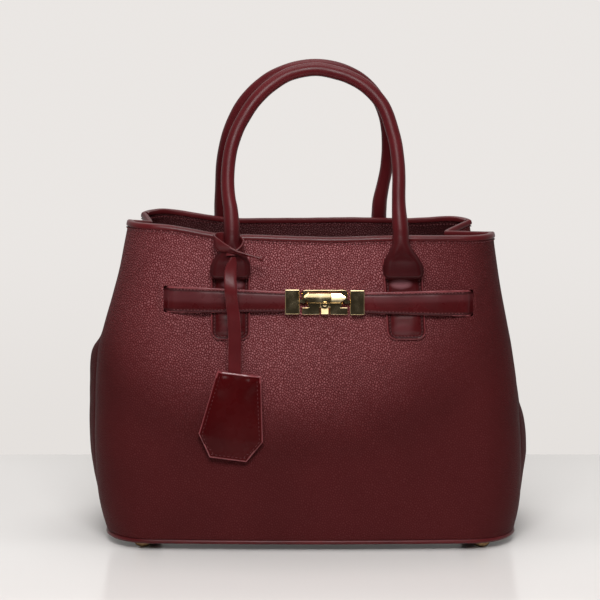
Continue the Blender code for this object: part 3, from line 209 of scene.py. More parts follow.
# Turn bar, with its hub's (radius, drop) pairs
BAR_LENGTH = 0.0324
BAR_HEIGHT = 0.0084
BAR_THICKNESS = 0.0042
BAR_POINT = 0.0045
BAR_TIP_HEIGHT = 0.0012
BAR_RISE = 0.0051
BAR_LOW = 0.0074
BAR_JOINT = 0.0046
BAR_CROWN = 15.0
BAR_STATIONS = mm((-16.2, -15.7, -11.7, -6, -2.1, -1.9, -1.6, -1, 0, 1, 1.6, 1.9, 2.1, 4.3, 4.6, 4.9, 11.7,
                   15.7, 16.2))[0]
HUB_PROFILE = mm((1.5, 2.4), (3.3, 2.4), (3.6, 2.1), (3.5, 0.3), (3.2, 0), (1.5, 0))
STEM_WIDTH = 0.0060

# Lace: rows of the loop are (x, y, z, half width, twist), of its keeper (x, y, z, half width), of the stop at
# the end of its hanging run (drop, half width, half thickness); sections are in half widths and thicknesses
LACE_THICKNESS = 0.0018
LOOP_THICKNESS = 0.0014
KEEPER_THICKNESS = 0.0016
LACE_EDGE = 0.0046
LACE_TOP = Vector((-0.0600, -0.069326, 0.2255))
FOB_SEAT = Vector((-0.0588, -0.074942, 0.1390))
LACE_SWAY = ((0.0, -0.0592), (0.08, -0.0614), (0.17, -0.0618), (0.37, -0.0608), (0.47, -0.0595),
             (0.69, -0.0583), (0.96, -0.0587), (1.0, -0.0588))
LACE_LOOP = ((-0.0590, -0.0712, 0.2300, 0.0022, 60), (-0.0545, -0.0700, 0.2318, 0.0028, 35),
             (-0.0522, -0.0640, 0.2345, 0.0040, 10), (-0.0560, -0.0572, 0.2365, 0.0048, 0),
             (-0.0630, -0.0552, 0.2378, 0.0050, 0), (-0.0700, -0.0570, 0.2382, 0.0050, 0),
             (-0.0737, -0.0625, 0.2375, 0.0052, 4), (-0.0715, -0.0685, 0.2358, 0.0050, 14),
             (-0.0665, -0.0712, 0.2337, 0.0042, 26), (-0.0610, -0.0728, 0.2318, 0.0032, 45),
             (-0.0560, -0.0736, 0.2302, 0.0024, 62), (-0.0505, -0.0738, 0.2288, 0.0020, 72),
             (-0.0445, -0.0740, 0.2272, 0.0018, 76), (-0.0385, -0.0742, 0.2256, 0.0017, 80))
LACE_KEEPER = mm((-60.2, -69, 231.8, 3.4), (-60.4, -69.4, 229.5, 3.8), (-60.3, -69.7, 227.4, 4.4))
LACE_KNOT = Vector((-0.0383, -0.0742, 0.2255))
LACE_STOP = mm((1, 5, 0.9), (2.2, 5.2, 1.3), (3.4, 5.4, 1.7), (11, 5.4, 1.7), (11.4, 5, 1.4))
RIBBON_SECTION = ((-1, -0.5), (-1, 0.5), (-0.93, 0.95), (-0.5, 1.08), (0, 1.15), (0.5, 1.08), (0.93, 0.95),
                  (1, 0.5), (1, -0.5), (0.93, -0.9), (0, -0.9), (-0.93, -0.9))
STRAP_SECTION = ((-1, -0.5), (-1, 0.35), (-0.96, 0.75), (-0.85, 0.98), (-0.4, 1.12), (0, 1.16), (0.4, 1.12),
                 (0.85, 0.98), (0.96, 0.75), (1, 0.35), (1, -0.5), (0.9, -0.95), (0, -1.0), (-0.9, -0.95))

# Key fob: corners are (x, drop) from the middle of a leaf's top, a route of stitches is its corners and how far
# inside the cut edge it runs, and a swell is (x, drop, two spreads, height)
FOB_SHIFT = 0.0036
FOB_TOP_WIDTH = 0.033
FOB_WIDTH = 0.049
FOB_BOTTOM_WIDTH = 0.028
FOB_SHOULDER = 0.050
FOB_LENGTH = 0.0670
FOB_LEAF_THICKNESS = 0.0017
FOB_CAVITY = 0.0021
FOB_MOUTH_WIDTH = 0.018
FOB_TILT = math.radians(7.5)
FOB_EDGE = 0.0009
FOB_STITCH_SINK = 0.0002
FOB_STITCH_SETBACK = 0.0026
FOB_RIGHT = Vector((math.cos(FOB_TILT), 0, -math.sin(FOB_TILT)))
FOB_UP = Vector((math.sin(FOB_TILT), 0, math.cos(FOB_TILT)))
FOB_CORNERS = ((-FOB_TOP_WIDTH / 2, 0.0), (-FOB_WIDTH / 2, FOB_SHOULDER), (-FOB_BOTTOM_WIDTH / 2, FOB_LENGTH),
               (FOB_BOTTOM_WIDTH / 2, FOB_LENGTH), (FOB_WIDTH / 2, FOB_SHOULDER), (FOB_TOP_WIDTH / 2, 0.0))
FOB_ROUTES = ((((-FOB_TOP_WIDTH / 2, 0.0030), *FOB_CORNERS[1:3]), FOB_STITCH_SETBACK),
              (((FOB_TOP_WIDTH / 2, 0.0030), *FOB_CORNERS[4:2:-1]), FOB_STITCH_SETBACK), (FOB_CORNERS[2:4], 0.0))
FOB_SWELLS = mm((-6.5, 9, 5.2, 11, 1.2), (12.5, 8, 4.6, 10, 1.3), (3, 6, 4.2, 10, -0.9), (3, 34, 14, 18, 0.8))

# Studio: the table's (y, z) pairs from front to back, lamps as (name, place, target, size, watts), the camera
TABLE_PROFILE = mm((-402, -25), (-401, -1), (-400, 0), (242, 0), (244, -1), (245, -25))
TABLE_HALF_WIDTH = 0.50
TABLE_BOTTOM = -0.03
LAMPS = (("key_softbox", (-0.02, -0.72, 0.66), (0.0, -0.06, 0.18), (0.36, 0.24), 5.8),
         ("front_softbox", (-0.15, -1.45, 0.88), (0.0, 0.0, 0.17), (1.30, 0.50), 2.6),
         ("top_softbox", (0.0, -0.03, 1.45), (0.0, 0.01, 0.0), (1.1, 0.9), 11.2),
         ("back_softbox", (0.0, 0.95, 1.10), (0.0, 0.10, 0.08), (1.2, 0.4), 1.6))
CAMERA_PLACE = (-0.00602, -1.64841, 0.4527)
CAMERA_DIP = 9.31
FOCAL_LENGTH = 127.9
SENSOR_WIDTH = 36.0

# Stitches: (pitch, length) pairs, and the thread's radius
EDGE_STITCH = (0.0027, 0.0019)
HANDLE_STITCH = (0.0030, 0.0021)
BELT_STITCH = (0.0026, 0.0017)
FOB_STITCH = (0.0031, 0.0019)
THREAD_RADIUS = 0.00046
HANDLE_THREAD_RADIUS = 0.00032
FOB_THREAD_RADIUS = 0.00026

FRONT = -1
BACK = 1
LEFT = -1
RIGHT = 1
X_AXIS = Vector((1, 0, 0))
Y_AXIS = Vector((0, 1, 0))
Z_AXIS = Vector((0, 0, 1))


# Small sums

def lerp(first, second, share):
    return first + (second - first) * share


def clamp(value, low=0.0, high=1.0):
    return min(high, max(low, value))


def ease(value):
    value = clamp(value)
    return value * value * (3 - 2 * value)


def bell(*offsets):
    """A smooth hump: 1 in the middle, falling with each offset from it."""
    return math.exp(-sum(offset ** 2 for offset in offsets))


def spaced(first, last, count):
    return [lerp(first, last, step / (count - 1)) for step in range(count)]


def along_line(keys, place, blur):
    """A value at a place on straight lines between (place, value) pairs, with the bends softened."""
    total = 0.0
    for shift in (-1.0, -0.5, 0.0, 0.5, 1.0):
        spot = place + shift * blur
        value = keys[0][1] if spot < keys[0][0] else keys[-1][1]
        for (before, low), (after, high) in zip(keys, keys[1:]):
            if before <= spot <= after:
                value = lerp(low, high, (spot - before) / (after - before))
        total += value / 5
    return total


def along_keys(keys, place):
    """A value at a place between (place, value) pairs, eased from one to the next."""
    if place <= keys[0][0]:
        return keys[0][1]
    for (before, low), (after, high) in zip(keys, keys[1:]):
        if place <= after:
            return lerp(low, high, ease((place - before) / (after - before)))
    return keys[-1][1]


def smooth_path(keys, count):
    """Catmull-Rom through tuples of numbers."""
    made = []
    for number in range(count):
        place = number / (count - 1) * (len(keys) - 1)
        index = min(int(place), len(keys) - 2)
        t = place - index
        around = [keys[clamp(index + step, 0, len(keys) - 1)] for step in (-1, 0, 1, 2)]
        made.append([0.5 * (2 * q + (r - p) * t + (2 * p - 5 * q + 4 * r - s) * t * t
                            + (3 * q - p - 3 * r + s) * t ** 3) for p, q, r, s in zip(*around)])
    return made


# Materials

class Nodes:
    """A node tree and the helpers that fill it; a value given to one is a number, a colour or a socket."""

    def __init__(self, tree):
        self.tree = tree
        self.coordinates = self.node("ShaderNodeTexCoord")
        self.place = self.coordinates["Object"]

    def node(self, kind, inputs=None, **settings):
        """Adds a node, gives its inputs their values, and returns its outputs."""
        made = self.tree.nodes.new(kind)
        for key, value in settings.items():
            setattr(made, key, value)
        for key, value in (inputs or {}).items():
            self.link(value, made.inputs[key])
        return made.outputs

    def link(self, source, target):
        if isinstance(source, (int, float)):
            target.default_value = source
        elif isinstance(source, tuple):
            target.default_value = source if len(source) == len(target.default_value) else (*source, 1.0)
        else:
            self.tree.links.new(source, target)

    def stretched(self, scale=(1.0, 1.0, 1.0), turn=(0.0, 0.0, 0.0), place=None):
        """The coordinates scaled, and turned by degrees about each axis."""
        turn = tuple(math.radians(angle) for angle in turn)
        return self.node("ShaderNodeMapping", {"Vector": place or self.place, "Scale": scale,
                                               "Rotation": turn})["Vector"]

    def noise(self, scale, detail=3.0, rough=0.5, place=None, output="Fac"):
        return self.node("ShaderNodeTexNoise", {"Vector": place or self.place, "Scale": scale, "Detail": detail,
                                                "Roughness": rough})[output]

    def wandering(self, scale, amount):
        """The coordinates pushed about by a soft noise, so that a pattern isn't regular."""
        push = self.noise(scale, 2.0, output="Color")
        return self.node("ShaderNodeVectorMath", {0: push, 1: (amount, amount, amount), 2: self.place},
                         operation="MULTIPLY_ADD")["Vector"]

    def cells(self, scale, place, dimensions="3D"):
        return self.node("ShaderNodeTexVoronoi", {"Vector": place, "Scale": scale},
                         voronoi_dimensions=dimensions, feature="DISTANCE_TO_EDGE")["Distance"]

    def wave(self, scale, place, direction="X"):
        return self.node("ShaderNodeTexWave", {"Vector": place, "Scale": scale},
                         bands_direction=direction)["Fac"]

    def span(self, value, low, high, to_low=0.0, to_high=1.0):
        """A value eased from one range to another."""
        return self.node("ShaderNodeMapRange", dict(enumerate((value, low, high, to_low, to_high))),
                         interpolation_type="SMOOTHSTEP")["Result"]

    def sum(self, first, second, operation="ADD"):
        return self.node("ShaderNodeMath", {0: first, 1: second}, operation=operation)["Value"]

    def less(self, first, second):
        return self.sum(first, second, "SUBTRACT")

    def times(self, first, second):
        return self.sum(first, second, "MULTIPLY")

    def mix(self, share, first, second):
        return self.node("ShaderNodeMix", {"Factor": share, 6: first, 7: second}, data_type="RGBA")[2]

    def parts(self, place):
        return self.node("ShaderNodeSeparateXYZ", {0: place})

    def scaled(self, colour, share):
        return self.node("ShaderNodeVectorMath", {0: colour, "Scale": share}, operation="SCALE")["Vector"]

    def bump(self, height, distance, strength=1.0, under=None):
        """A normal from a height, over another normal where one is given."""
        inputs = {"Height": height, "Distance": distance, "Strength": strength}
        if under is not None:
            inputs["Normal"] = under
        return self.node("ShaderNodeBump", inputs)["Normal"]


class Paint(Nodes):
    """One material."""

    def __init__(self, name):
        self.made = bpy.data.materials.new(name)
        self.made.use_nodes = True
        super().__init__(self.made.node_tree)

    def finished(self, **sockets):
        """The material, with the main shader's sockets set."""
        for key, value in sockets.items():
            self.link(value, self.tree.nodes["Principled BSDF"].inputs[key.replace("_", " ")])
        return self.made


def patterned(name, pattern, dark, light, rough, bump, spread=None, gloss=None, **sockets):
    """A finish whose colour and height, and mostly its gloss too, follow one pattern."""
    paint = Paint(name)
    field = pattern(paint)
    shown = paint.span(field, *spread) if spread else field
    return paint.finished(Base_Color=paint.mix(shown, dark, light), Normal=paint.bump(field, *bump),
                          Roughness=paint.span(gloss(paint) if gloss else field, *rough), **sockets)


# The depth of the flat front; where the skin is less deep it turns round a corner, and its pebble runs on
FLAT_DEPTH = 0.078


def pebbled_leather(name="pebbled_leather_finish", shade=1.0, facing="front", shine=0.075):
    """Full-grain calf pressed to a soft pebble, stretched smoother towards its edges and bottom. Its colour
    carries painted shade in the creases, and painted light and highlights towards the upper middle of the front.
    """
    paint = Paint(name)
    x, _, z = paint.parts(paint.place)
    wx, wy, wz = paint.parts(paint.wandering(60.0, 0.0046))
    if facing == "front":
        reach = paint.sum(paint.less(FLAT_DEPTH, paint.sum(wy, 0.0, "ABSOLUTE")), 0.0, "MAXIMUM")
        wx = paint.sum(wx, paint.times(reach, paint.sum(wx, 0.0, "SIGN")))
        wy = wz
    elif facing == "side":
        wx, wy = wy, wz
    flat = paint.node("ShaderNodeCombineXYZ", {0: wx, 1: wy})[0]
    edge = paint.cells(640.0, paint.stretched((1.0, 0.82, 1.0), (0.0, 0.0, 24.0), flat), dimensions="2D")
    crease = paint.span(edge, 0.0, 0.14)
    dome = paint.span(edge, 0.02, 0.40)

    # How far the leather is from the upper middle of the front, where the light falls; round there painted light
    # and a painted sheen lighten its colour
    wide = paint.sum(paint.sum(x, 0.015), 0.152, "DIVIDE")
    deep = paint.sum(paint.sum(paint.less(0.20, z), 0.0, "MAXIMUM"), 0.115, "DIVIDE")
    away = paint.sum(paint.sum(wide, 2.0, "POWER"), paint.sum(deep, 2.0, "POWER"))
    away = paint.sum(away, paint.span(paint.noise(22.0, 2.0), 0.2, 0.8, -0.05, 0.05))
    pressed = paint.span(away, 0.35, 1.60, 1.0, 0.40)
    painted_sheen = paint.span(away, -0.05, 1.25, 1.0, 0.0)

    # Painted light: the tone is lighter towards the upper middle and darker away from it
    tone = paint.mix(painted_sheen, (0.058, 0.0054, 0.0060), (0.140, 0.0150, 0.0180))
    dark = paint.mix(painted_sheen, (0.032, 0.0020, 0.0026), (0.056, 0.0068, 0.0086))
    # Painted shade: where the grain is pressed, its creases take the darker colour
    colour = paint.mix(paint.less(1.0, paint.times(paint.less(1.0, crease), pressed)), dark, tone)
    # Painted highlights: pebble tops are lightened, most at the upper middle
    gloss = paint.sum(paint.sum(painted_sheen, 1.7, "POWER"), 0.07)
    colour = paint.mix(paint.times(paint.times(dome, gloss), 0.60), colour, (0.420, 0.1850, 0.1950))
    # Random tone, scaled by shade; the low shade of the facings inside the rim is painted shade
    colour = paint.scaled(colour, paint.span(paint.noise(14.0, 3.0), 0.3, 0.7, 0.93 * shade, 1.07 * shade))
    height = paint.sum(paint.times(dome, 0.75), paint.times(crease, 0.25))
    normal = paint.bump(paint.times(height, pressed), 0.00042, 0.9)
    rough = paint.span(paint.times(dome, pressed), 0.0, 0.9, 0.60, 0.40)
    return paint.finished(Base_Color=colour, Roughness=rough,
                          Normal=paint.bump(paint.noise(3000.0, 3.0), 0.00004, 0.35, normal),
                          Specular_IOR_Level=shine)


# The middle between the front's two tabs
TABS_MIDDLE = 0.0067


def smooth_leather(name, dark, light, roughness=0.33, tint=0.25, shine=0.19, low=None, painted_highlights=()):
    """Polished smooth calf: a fine pore, slight smears, paler wear along edges, soft painted highlights, and
    painted shade lower down when a range of heights is given.
    """
    paint = Paint(name)
    place = paint.wandering(30.0, 0.004)
    tone = paint.mix(paint.span(paint.noise(26.0, 4.0, place=place), 0.3, 0.72), dark, light)
    worn = paint.span(paint.node("ShaderNodeNewGeometry")["Pointiness"], 0.53, 0.64)
    colour = paint.mix(paint.times(worn, tint), tone, (0.210, 0.045, 0.050))
    x, _, z = paint.parts(paint.place)
    # Painted highlights: soft lighter patches placed by distance from the tabs' middle and by height
    for middle, level, wide, tall, strength in painted_highlights:
        aside = paint.sum(paint.less(x, TABS_MIDDLE), 0.0, "ABSOLUTE")
        along = paint.sum(paint.less(aside, middle), wide, "DIVIDE")
        up = paint.sum(paint.less(z, level), tall, "DIVIDE")
        away = paint.sum(paint.times(along, along), paint.times(up, up))
        colour = paint.mix(paint.span(away, 0.15, 1.25, strength, 0.0), colour, (0.300, 0.1250, 0.1400))
    # Painted shade: the colour darkens below a given height
    if low:
        colour = paint.scaled(colour, paint.span(z, *low, 1.0))
    crease = paint.cells(420.0, paint.stretched((1.0, 1.0, 0.45), place=place))
    normal = paint.bump(paint.span(crease, 0.0, 0.12), 0.00003, 0.35)
    return paint.finished(
        Base_Color=colour, Normal=paint.bump(paint.noise(2600.0, 4.0, 0.6), 0.00004, 0.4, normal),
        Roughness=paint.span(paint.noise(90.0, 3.0), 0.3, 0.7, roughness - 0.03, roughness + 0.05),
        Specular_IOR_Level=shine)


def lining_cloth():
    """Twill lining: two sets of yarns and a soft nap."""
    paint = Paint("lining_cloth_finish")
    warp = paint.wave(560.0, paint.stretched(turn=(0.0, 45.0, 0.0)))
    weft = paint.wave(560.0, paint.stretched(turn=(45.0, 0.0, 0.0)), "Z")
    weave = paint.times(warp, weft)
    nap = paint.noise(1600.0, 3.0)
    tone = paint.mix(weave, (0.030, 0.0052, 0.0070), (0.085, 0.0150, 0.0190))
    return paint.finished(Base_Color=paint.mix(paint.times(nap, 0.4), tone, (0.110, 0.0260, 0.0310)),
                          Roughness=paint.span(nap, 0.3, 0.7, 0.78, 0.94),
                          Normal=paint.bump(weave, 0.00012, 0.6), Specular_IOR_Level=0.08)


def gold_metal(name="gold_metal_finish", roughness=0.13):
    """Polished light gold plating with faint wipe marks."""
    paint = Paint(name)
    smear = paint.noise(120.0, 4.0, place=paint.wandering(60.0, 0.004))
    hair = paint.noise(900.0, 2.0, place=paint.stretched((1.0, 1.0, 14.0)))
    colour = paint.mix(paint.span(smear, 0.35, 0.7), (0.78, 0.60, 0.33), (0.86, 0.69, 0.42))
    return paint.finished(Base_Color=colour,
                          Roughness=paint.span(smear, 0.3, 0.75, roughness - 0.03, roughness + 0.05),
                          Normal=paint.bump(hair, 0.000008, 0.35), Metallic=1.0)


PEBBLED = pebbled_leather()
# The facings inside the rim: the pebbled leather at about a third of its brightness, as painted shade
PEBBLED_INSIDE_SHADED = pebbled_leather("inside_leather_finish", 0.34)
PEBBLED_SIDE = pebbled_leather("gusset_leather_finish", 0.95, "side", 0.03)
PEBBLED_BASE = pebbled_leather("base_leather_finish", 1.0, "down")

DEEP_BURGUNDY = ((0.052, 0.0046, 0.0056), (0.078, 0.0078, 0.0094))
SMOOTH = smooth_leather("smooth_leather_finish", (0.064, 0.0066, 0.0080), (0.094, 0.0105, 0.0125), 0.31)
# Painted highlights: a faint lighter band along the belt's upper half, and lighter patches on the tabs' padded
# middles above and below the belt
BELT = smooth_leather("belt_leather_finish", *DEEP_BURGUNDY, 0.29, painted_highlights=((0.0, 0.1948, 0.60, 0.0048, 0.10),))
TAB = smooth_leather("tab_leather_finish", *DEEP_BURGUNDY, 0.29,
                     painted_highlights=((0.0637, 0.2040, 0.0088, 0.0042, 0.62), (0.0650, 0.1700, 0.0086, 0.0058, 0.13)))
# Painted shade: the handle darkens from 0.262 m down to 0.47 of its colour at 0.226 m, over its lower legs and
# flares
HANDLE = smooth_leather("handle_leather_finish", (0.068, 0.0060, 0.0080), (0.098, 0.0096, 0.0120), 0.36,
                        shine=0.17, low=(0.226, 0.262, 0.47))
GLAZED = smooth_leather("glazed_leather_finish", (0.041, 0.0020, 0.0026), (0.052, 0.0028, 0.0034), 0.27,
                        0.15, 0.09)

PAINTED = patterned("edge_paint_finish", lambda paint: paint.noise(240.0, 3.0), (0.150, 0.024, 0.028),
                    (0.215, 0.042, 0.048), (0.3, 0.7, 0.30, 0.44), (0.00012, 0.5), (0.3, 0.7),
                    lambda paint: paint.noise(700.0, 2.0))
THREAD = patterned("waxed_thread_finish",
                   lambda paint: paint.wave(1500.0, paint.stretched((1.0, 0.4, 1.0), (0.0, 38.0, 0.0))),
                   (0.070, 0.0075, 0.0095), (0.125, 0.0170, 0.0210), (0.3, 0.7, 0.48, 0.66), (0.00010, 0.7),
                   gloss=lambda paint: paint.noise(1500.0, 2.0))
# Painted shade: dark leather given to the faces in the stitch grooves of belts and tabs
PAINTED_GROOVE_SHADE = patterned("groove_painted_shade_finish", lambda paint: paint.noise(1900.0, 3.0), (0.028, 0.0026, 0.0034),
                   (0.048, 0.0048, 0.0060), (0.3, 0.7, 0.60, 0.72), (0.00005, 0.5), Specular_IOR_Level=0.2)
CLOTH = lining_cloth()
GOLD = gold_metal()
BRIGHT_GOLD = gold_metal("bright_gold_finish", 0.12)
# A darker copy of the gold for the feet under the bag: painted shade
SHADED_FOOT_GOLD = patterned("foot_gold_painted_shade_finish", lambda paint: paint.noise(420.0, 4.0), (0.20, 0.115, 0.055),
                      (0.36, 0.23, 0.115), (0.3, 0.7, 0.34, 0.50), (0.00002, 0.4), (0.3, 0.7), Metallic=1.0)
STEEL = patterned("plated_steel_finish",
                  lambda paint: paint.noise(800.0, 3.0, place=paint.stretched((1.0, 8.0, 1.0))),
                  (0.52, 0.51, 0.49), (0.68, 0.66, 0.63), (0.3, 0.7, 0.26, 0.38), (0.00001, 0.4), Metallic=1.0)
BOARD = patterned("stiffener_board_finish",
                  lambda paint: paint.noise(500.0, 5.0, 0.65, paint.stretched((1.0, 3.0, 1.0))),
                  (0.060, 0.050, 0.042), (0.140, 0.120, 0.100), (0.3, 0.7, 0.78, 0.92), (0.0002, 0.5))
CORD = patterned("cotton_cord_finish",
                 lambda paint: paint.wave(260.0, paint.stretched(turn=(0.0, 35.0, 0.0)), "DIAGONAL"),
                 (0.42, 0.37, 0.29), (0.66, 0.61, 0.52), (0.0, 1.0, 0.94, 0.82), (0.0004, 0.8))
CAD_FINISHES = {"pebbled_leather": PEBBLED, "smooth_leather": SMOOTH, "lining_cloth": CLOTH,
                "stiffener_board": BOARD, "cotton_cord": CORD, "gold_metal": GOLD, "plated_steel": STEEL}


# The bag's form, as part.py has it, but round instead of faceted

def rim_height(x, side):
    middle = FRONT_RIM_HEIGHT if side == FRONT else BACK_RIM_HEIGHT
    return lerp(middle, LEFT_RIM_HEIGHT, ease((-x - RIM_LIFT_START) / RIM_LIFT_RUN))


def half_width(share, side, depth_place):
    fullness, skew, power = LEFT_FULLNESS if side == LEFT else RIGHT_FULLNESS
    tuck = LEFT_BACK_TUCK if side == LEFT else RIGHT_BACK_TUCK
    bulge = fullness * math.sin(math.pi * share ** skew) ** power if 0 < share < 1 else 0.0
    tuck *= ease((share - BACK_TUCK_START) / (1 - BACK_TUCK_START)) * (1 + depth_place) / 2
    height = lerp(PANEL_BOTTOM, FRONT_RIM_HEIGHT, share)
    trim = along_line(LEFT_TRIM if side == LEFT else RIGHT_TRIM, height, 0.004) * (1 - depth_place) / 2
    return lerp(BASE_WIDTH / 2, RIM_WIDTH / 2, share) + bulge - tuck + trim


def corner_radius(share):
    return lerp(BASE_CORNER_RADIUS, RIM_CORNER_RADIUS, share)


def corner_depth(share):
    straight = lerp(BASE_DEPTH / 2, RIM_DEPTH / 2, share) - FRONT_BOW
    return straight + DEPTH_BULGE * math.sin(math.pi * clamp(share))


def skin_depth(x, z, side):
    share = (z - PANEL_BOTTOM) / (rim_height(x, side) - PANEL_BOTTOM)
    radius = corner_radius(share)
    depth = corner_depth(share)
    edge = half_width(share, LEFT if x < 0 else RIGHT, side) - radius
    over = abs(x) - edge
    if over <= 0:
        return side * (depth + FRONT_BOW * (1 - (x / edge) ** 2))
    return side * (depth - radius + math.sqrt(max(radius ** 2 - over ** 2, 0.0)))


def skin_point(x, z, side, lift):
    """A point at a distance out of the front or back skin, square to its slope."""
    above, below = (abs(skin_depth(x, z + step, side)) for step in (SLOPE_STEP, -SLOPE_STEP))
    out = Vector((0, side, (below - above) / (2 * SLOPE_STEP))).normalized()
    return Vector((x, skin_depth(x, z, side), z)) + out * lift


def skin_out(x, z, side):
    return (skin_point(x, z, side, 1.0) - skin_point(x, z, side, 0.0)).normalized()


def belt_level(x):
    if x < CLASP_X:
        return BELT_HEIGHT + LEFT_SLIT_RISE * (x - CLASP_X) / (LEFT_SLIT_X - CLASP_X)
    return BELT_HEIGHT - RIGHT_SLIT_DROP * (x - CLASP_X) / (RIGHT_SLIT_X - CLASP_X)


def relief(x, z, side):
    """How far the soft leather stands in or out of its plain form, away from what lies on it."""
    swell = noise.noise(Vector((x * 13.0, side * 4.0, z * 15.0))) * 0.0009
    swell += noise.noise(Vector((x * 34.0, side * 9.0, z * 31.0))) * 0.00030
    calm = 1.0
    if side == FRONT:
        if LEFT_SLIT_X - BELT_CALM < x < RIGHT_SLIT_X + BELT_CALM:
            calm = ease((abs(z - belt_level(x)) - BELT_OUTER_WIDTH / 2) / 0.012)
        left, right, middle, reach = FOB_PATCH
        if left < x < right:
            calm *= 0.25 + 0.75 * ease((abs(z - middle) - reach) / 0.03)
    if z > TAB_BOTTOM - 0.010:
        for middle in TAB_MIDDLES:
            calm *= ease((abs(x - middle) - 0.019) / 0.012)
    return swell * (calm * (ease((rim_height(x, side) - z) / 0.016) * ease((z - PANEL_BOTTOM) / 0.012)))


def slit_pucker(x, z):
    """The leather stands up in a lip round each slit and is drawn in beyond it."""
    total = 0.0
    for slit_x, side in ((LEFT_SLIT_X, LEFT), (RIGHT_SLIT_X, RIGHT)):
        across = (x - slit_x) * side
        up = abs(z - belt_level(slit_x)) / (BELT_OUTER_WIDTH / 2)
        if abs(across) <= 0.025 and up <= 2.6:
            total += 0.0011 * bell((across - 0.0032) / 0.0014) * (1 - ease((up - 0.85) / 0.5))
            total -= 0.0010 * bell((across - 0.0085) / 0.0050) * (1 - ease((up - 0.6) / 1.6))
            total += 0.0006 * bell((up - 1.25) / 0.22) * bell((across + 0.002) / 0.006)
    return total


# A ring round the walls: each panel's corners and flat part, and the gussets between them
ARC_STEPS = 12
FLAT_STEPS = 150
GUSSET_STEPS = 30
FRONT_SPAN = (0, 2 * ARC_STEPS + FLAT_STEPS)
RIGHT_SPAN = (FRONT_SPAN[1], FRONT_SPAN[1] + GUSSET_STEPS)
BACK_SPAN = (RIGHT_SPAN[1], RIGHT_SPAN[1] + 2 * ARC_STEPS + FLAT_STEPS)
LEFT_SPAN = (BACK_SPAN[1], BACK_SPAN[1] + GUSSET_STEPS)
WALLS = {"front": FRONT_SPAN, "right": RIGHT_SPAN, "back": BACK_SPAN, "left": LEFT_SPAN}
PANEL_SIDES = {"front": FRONT, "back": BACK}


def panel_plan(share, side):
    radius = corner_radius(share)
    depth = corner_depth(share)
    left, right = (half_width(share, end, side) - radius for end in (LEFT, RIGHT))
    plan = []
    for step in range(ARC_STEPS):
        angle = math.pi / 2 * step / ARC_STEPS
        plan.append((-left - radius * math.cos(angle), depth - radius + radius * math.sin(angle)))
    for x in spaced(-left, right, FLAT_STEPS + 1):
        plan.append((x, depth + FRONT_BOW * (1 - (x / (left if x < 0 else right)) ** 2)))
    for step in range(1, ARC_STEPS + 1):
        angle = math.pi / 2 * (1 - step / ARC_STEPS)
        plan.append((right + radius * math.cos(angle), depth - radius + radius * math.sin(angle)))
    return [Vector((x, side * y)) for x, y in plan]


def gusset_plan(share, side):
    reach = corner_depth(share) - corner_radius(share)
    fold, bulge, start = LEFT_GUSSET if side == LEFT else RIGHT_GUSSET
    fold *= ease((share - start) / (1 - start))
    bulge *= math.sin(math.pi * clamp(share))
    swell = LEFT_SWELL if side == LEFT else RIGHT_SWELL
    bulge += along_line(swell, lerp(PANEL_BOTTOM, FRONT_RIM_HEIGHT, share), 0.0015)
    plan = []
    for step in range(1, GUSSET_STEPS):
        place = -1 + 2 * step / GUSSET_STEPS
        soft = math.hypot(place, FOLD_SOFTNESS) - FOLD_SOFTNESS
        soft /= math.hypot(1, FOLD_SOFTNESS) - FOLD_SOFTNESS
        out = bulge * (1 - place * place) - fold * (1 - soft)
        plan.append(Vector((side * (half_width(share, side, place) + out), reach * place)))
    return plan


def closed_plan(share):
    return (panel_plan(share, FRONT) + gusset_plan(share, RIGHT) + panel_plan(share, BACK)[::-1]
            + gusset_plan(share, LEFT)[::-1])


def inset(plan, distance):
    """A closed plan moved inwards by a distance."""
    moved = []
    for before, point, after in zip(plan[-1:] + plan, plan, plan[1:] + plan[:1]):
        first = (point - before).normalized()
        second = (after - point).normalized()
        normal = Vector((-first.y - second.y, first.x + second.x))
        moved.append(point + normal / max(1 + first.dot(second), 0.8) * distance)
    return moved


def rim_profile():
    """For each point of a ring the plain height of the rim, and how far the rim rises above that."""
    plan = closed_plan(1.0)
    profile = []
    for index, point in enumerate(plan):
        if index <= FRONT_SPAN[1]:
            profile.append((rim_height(point.x, FRONT), along_line(FRONT_RISE, point.x, 0.006)))
        elif BACK_SPAN[0] <= index <= BACK_SPAN[1]:
            profile.append((rim_height(point.x, BACK), along_line(BACK_RISE, point.x, 0.004)))
        else:
            on_right = index < BACK_SPAN[0]
            start, end = RIGHT_SPAN if on_right else LEFT_SPAN[::-1]
            place = (index - start) / (end - start)
            corner = plan[RIGHT_SPAN[0] if on_right else LEFT_SPAN[0]].x
            level = lerp(rim_height(corner, FRONT), rim_height(corner, BACK), place)
            last = -1 if on_right else 0
            profile.append((level - GUSSET_DIP * (1 - abs(2 * place - 1)),
                            lerp(FRONT_RISE[last][1], BACK_RISE[last][1], place)))
    return profile


RIM_PROFILE = rim_profile()


def wall_ring(share, distance):
    """The walls at a share of their height, a distance in from their skin."""
    ring = []
    for index, (point, (top, rise)) in enumerate(zip(inset(closed_plan(share), distance), RIM_PROFILE)):
        rise *= ease((share - RISE_START) / (1 - RISE_START))
        depth = point.y
        if index <= FRONT_SPAN[1] or BACK_SPAN[0] <= index <= BACK_SPAN[1]:
            depth -= math.copysign(rise * 0.10, depth)
        ring.append(Vector((point.x, depth, lerp(PANEL_BOTTOM, top, share) + rise)))
    return ring


def share_at(z):
    """The share of the walls' height at a level."""
    return (z - PANEL_BOTTOM) / WALL_HEIGHT


def stretch(ring, span):
    return [ring[index % len(ring)].copy() for index in range(span[0], span[1] + 1)]


def sheets(shares, near, thickness, span):
    """The outer and inner grid of a sheet that lies a distance in from the skin."""
    return [[stretch(wall_ring(share, distance), span) for share in shares]
            for distance in (near, near + thickness)]


# Mesh making

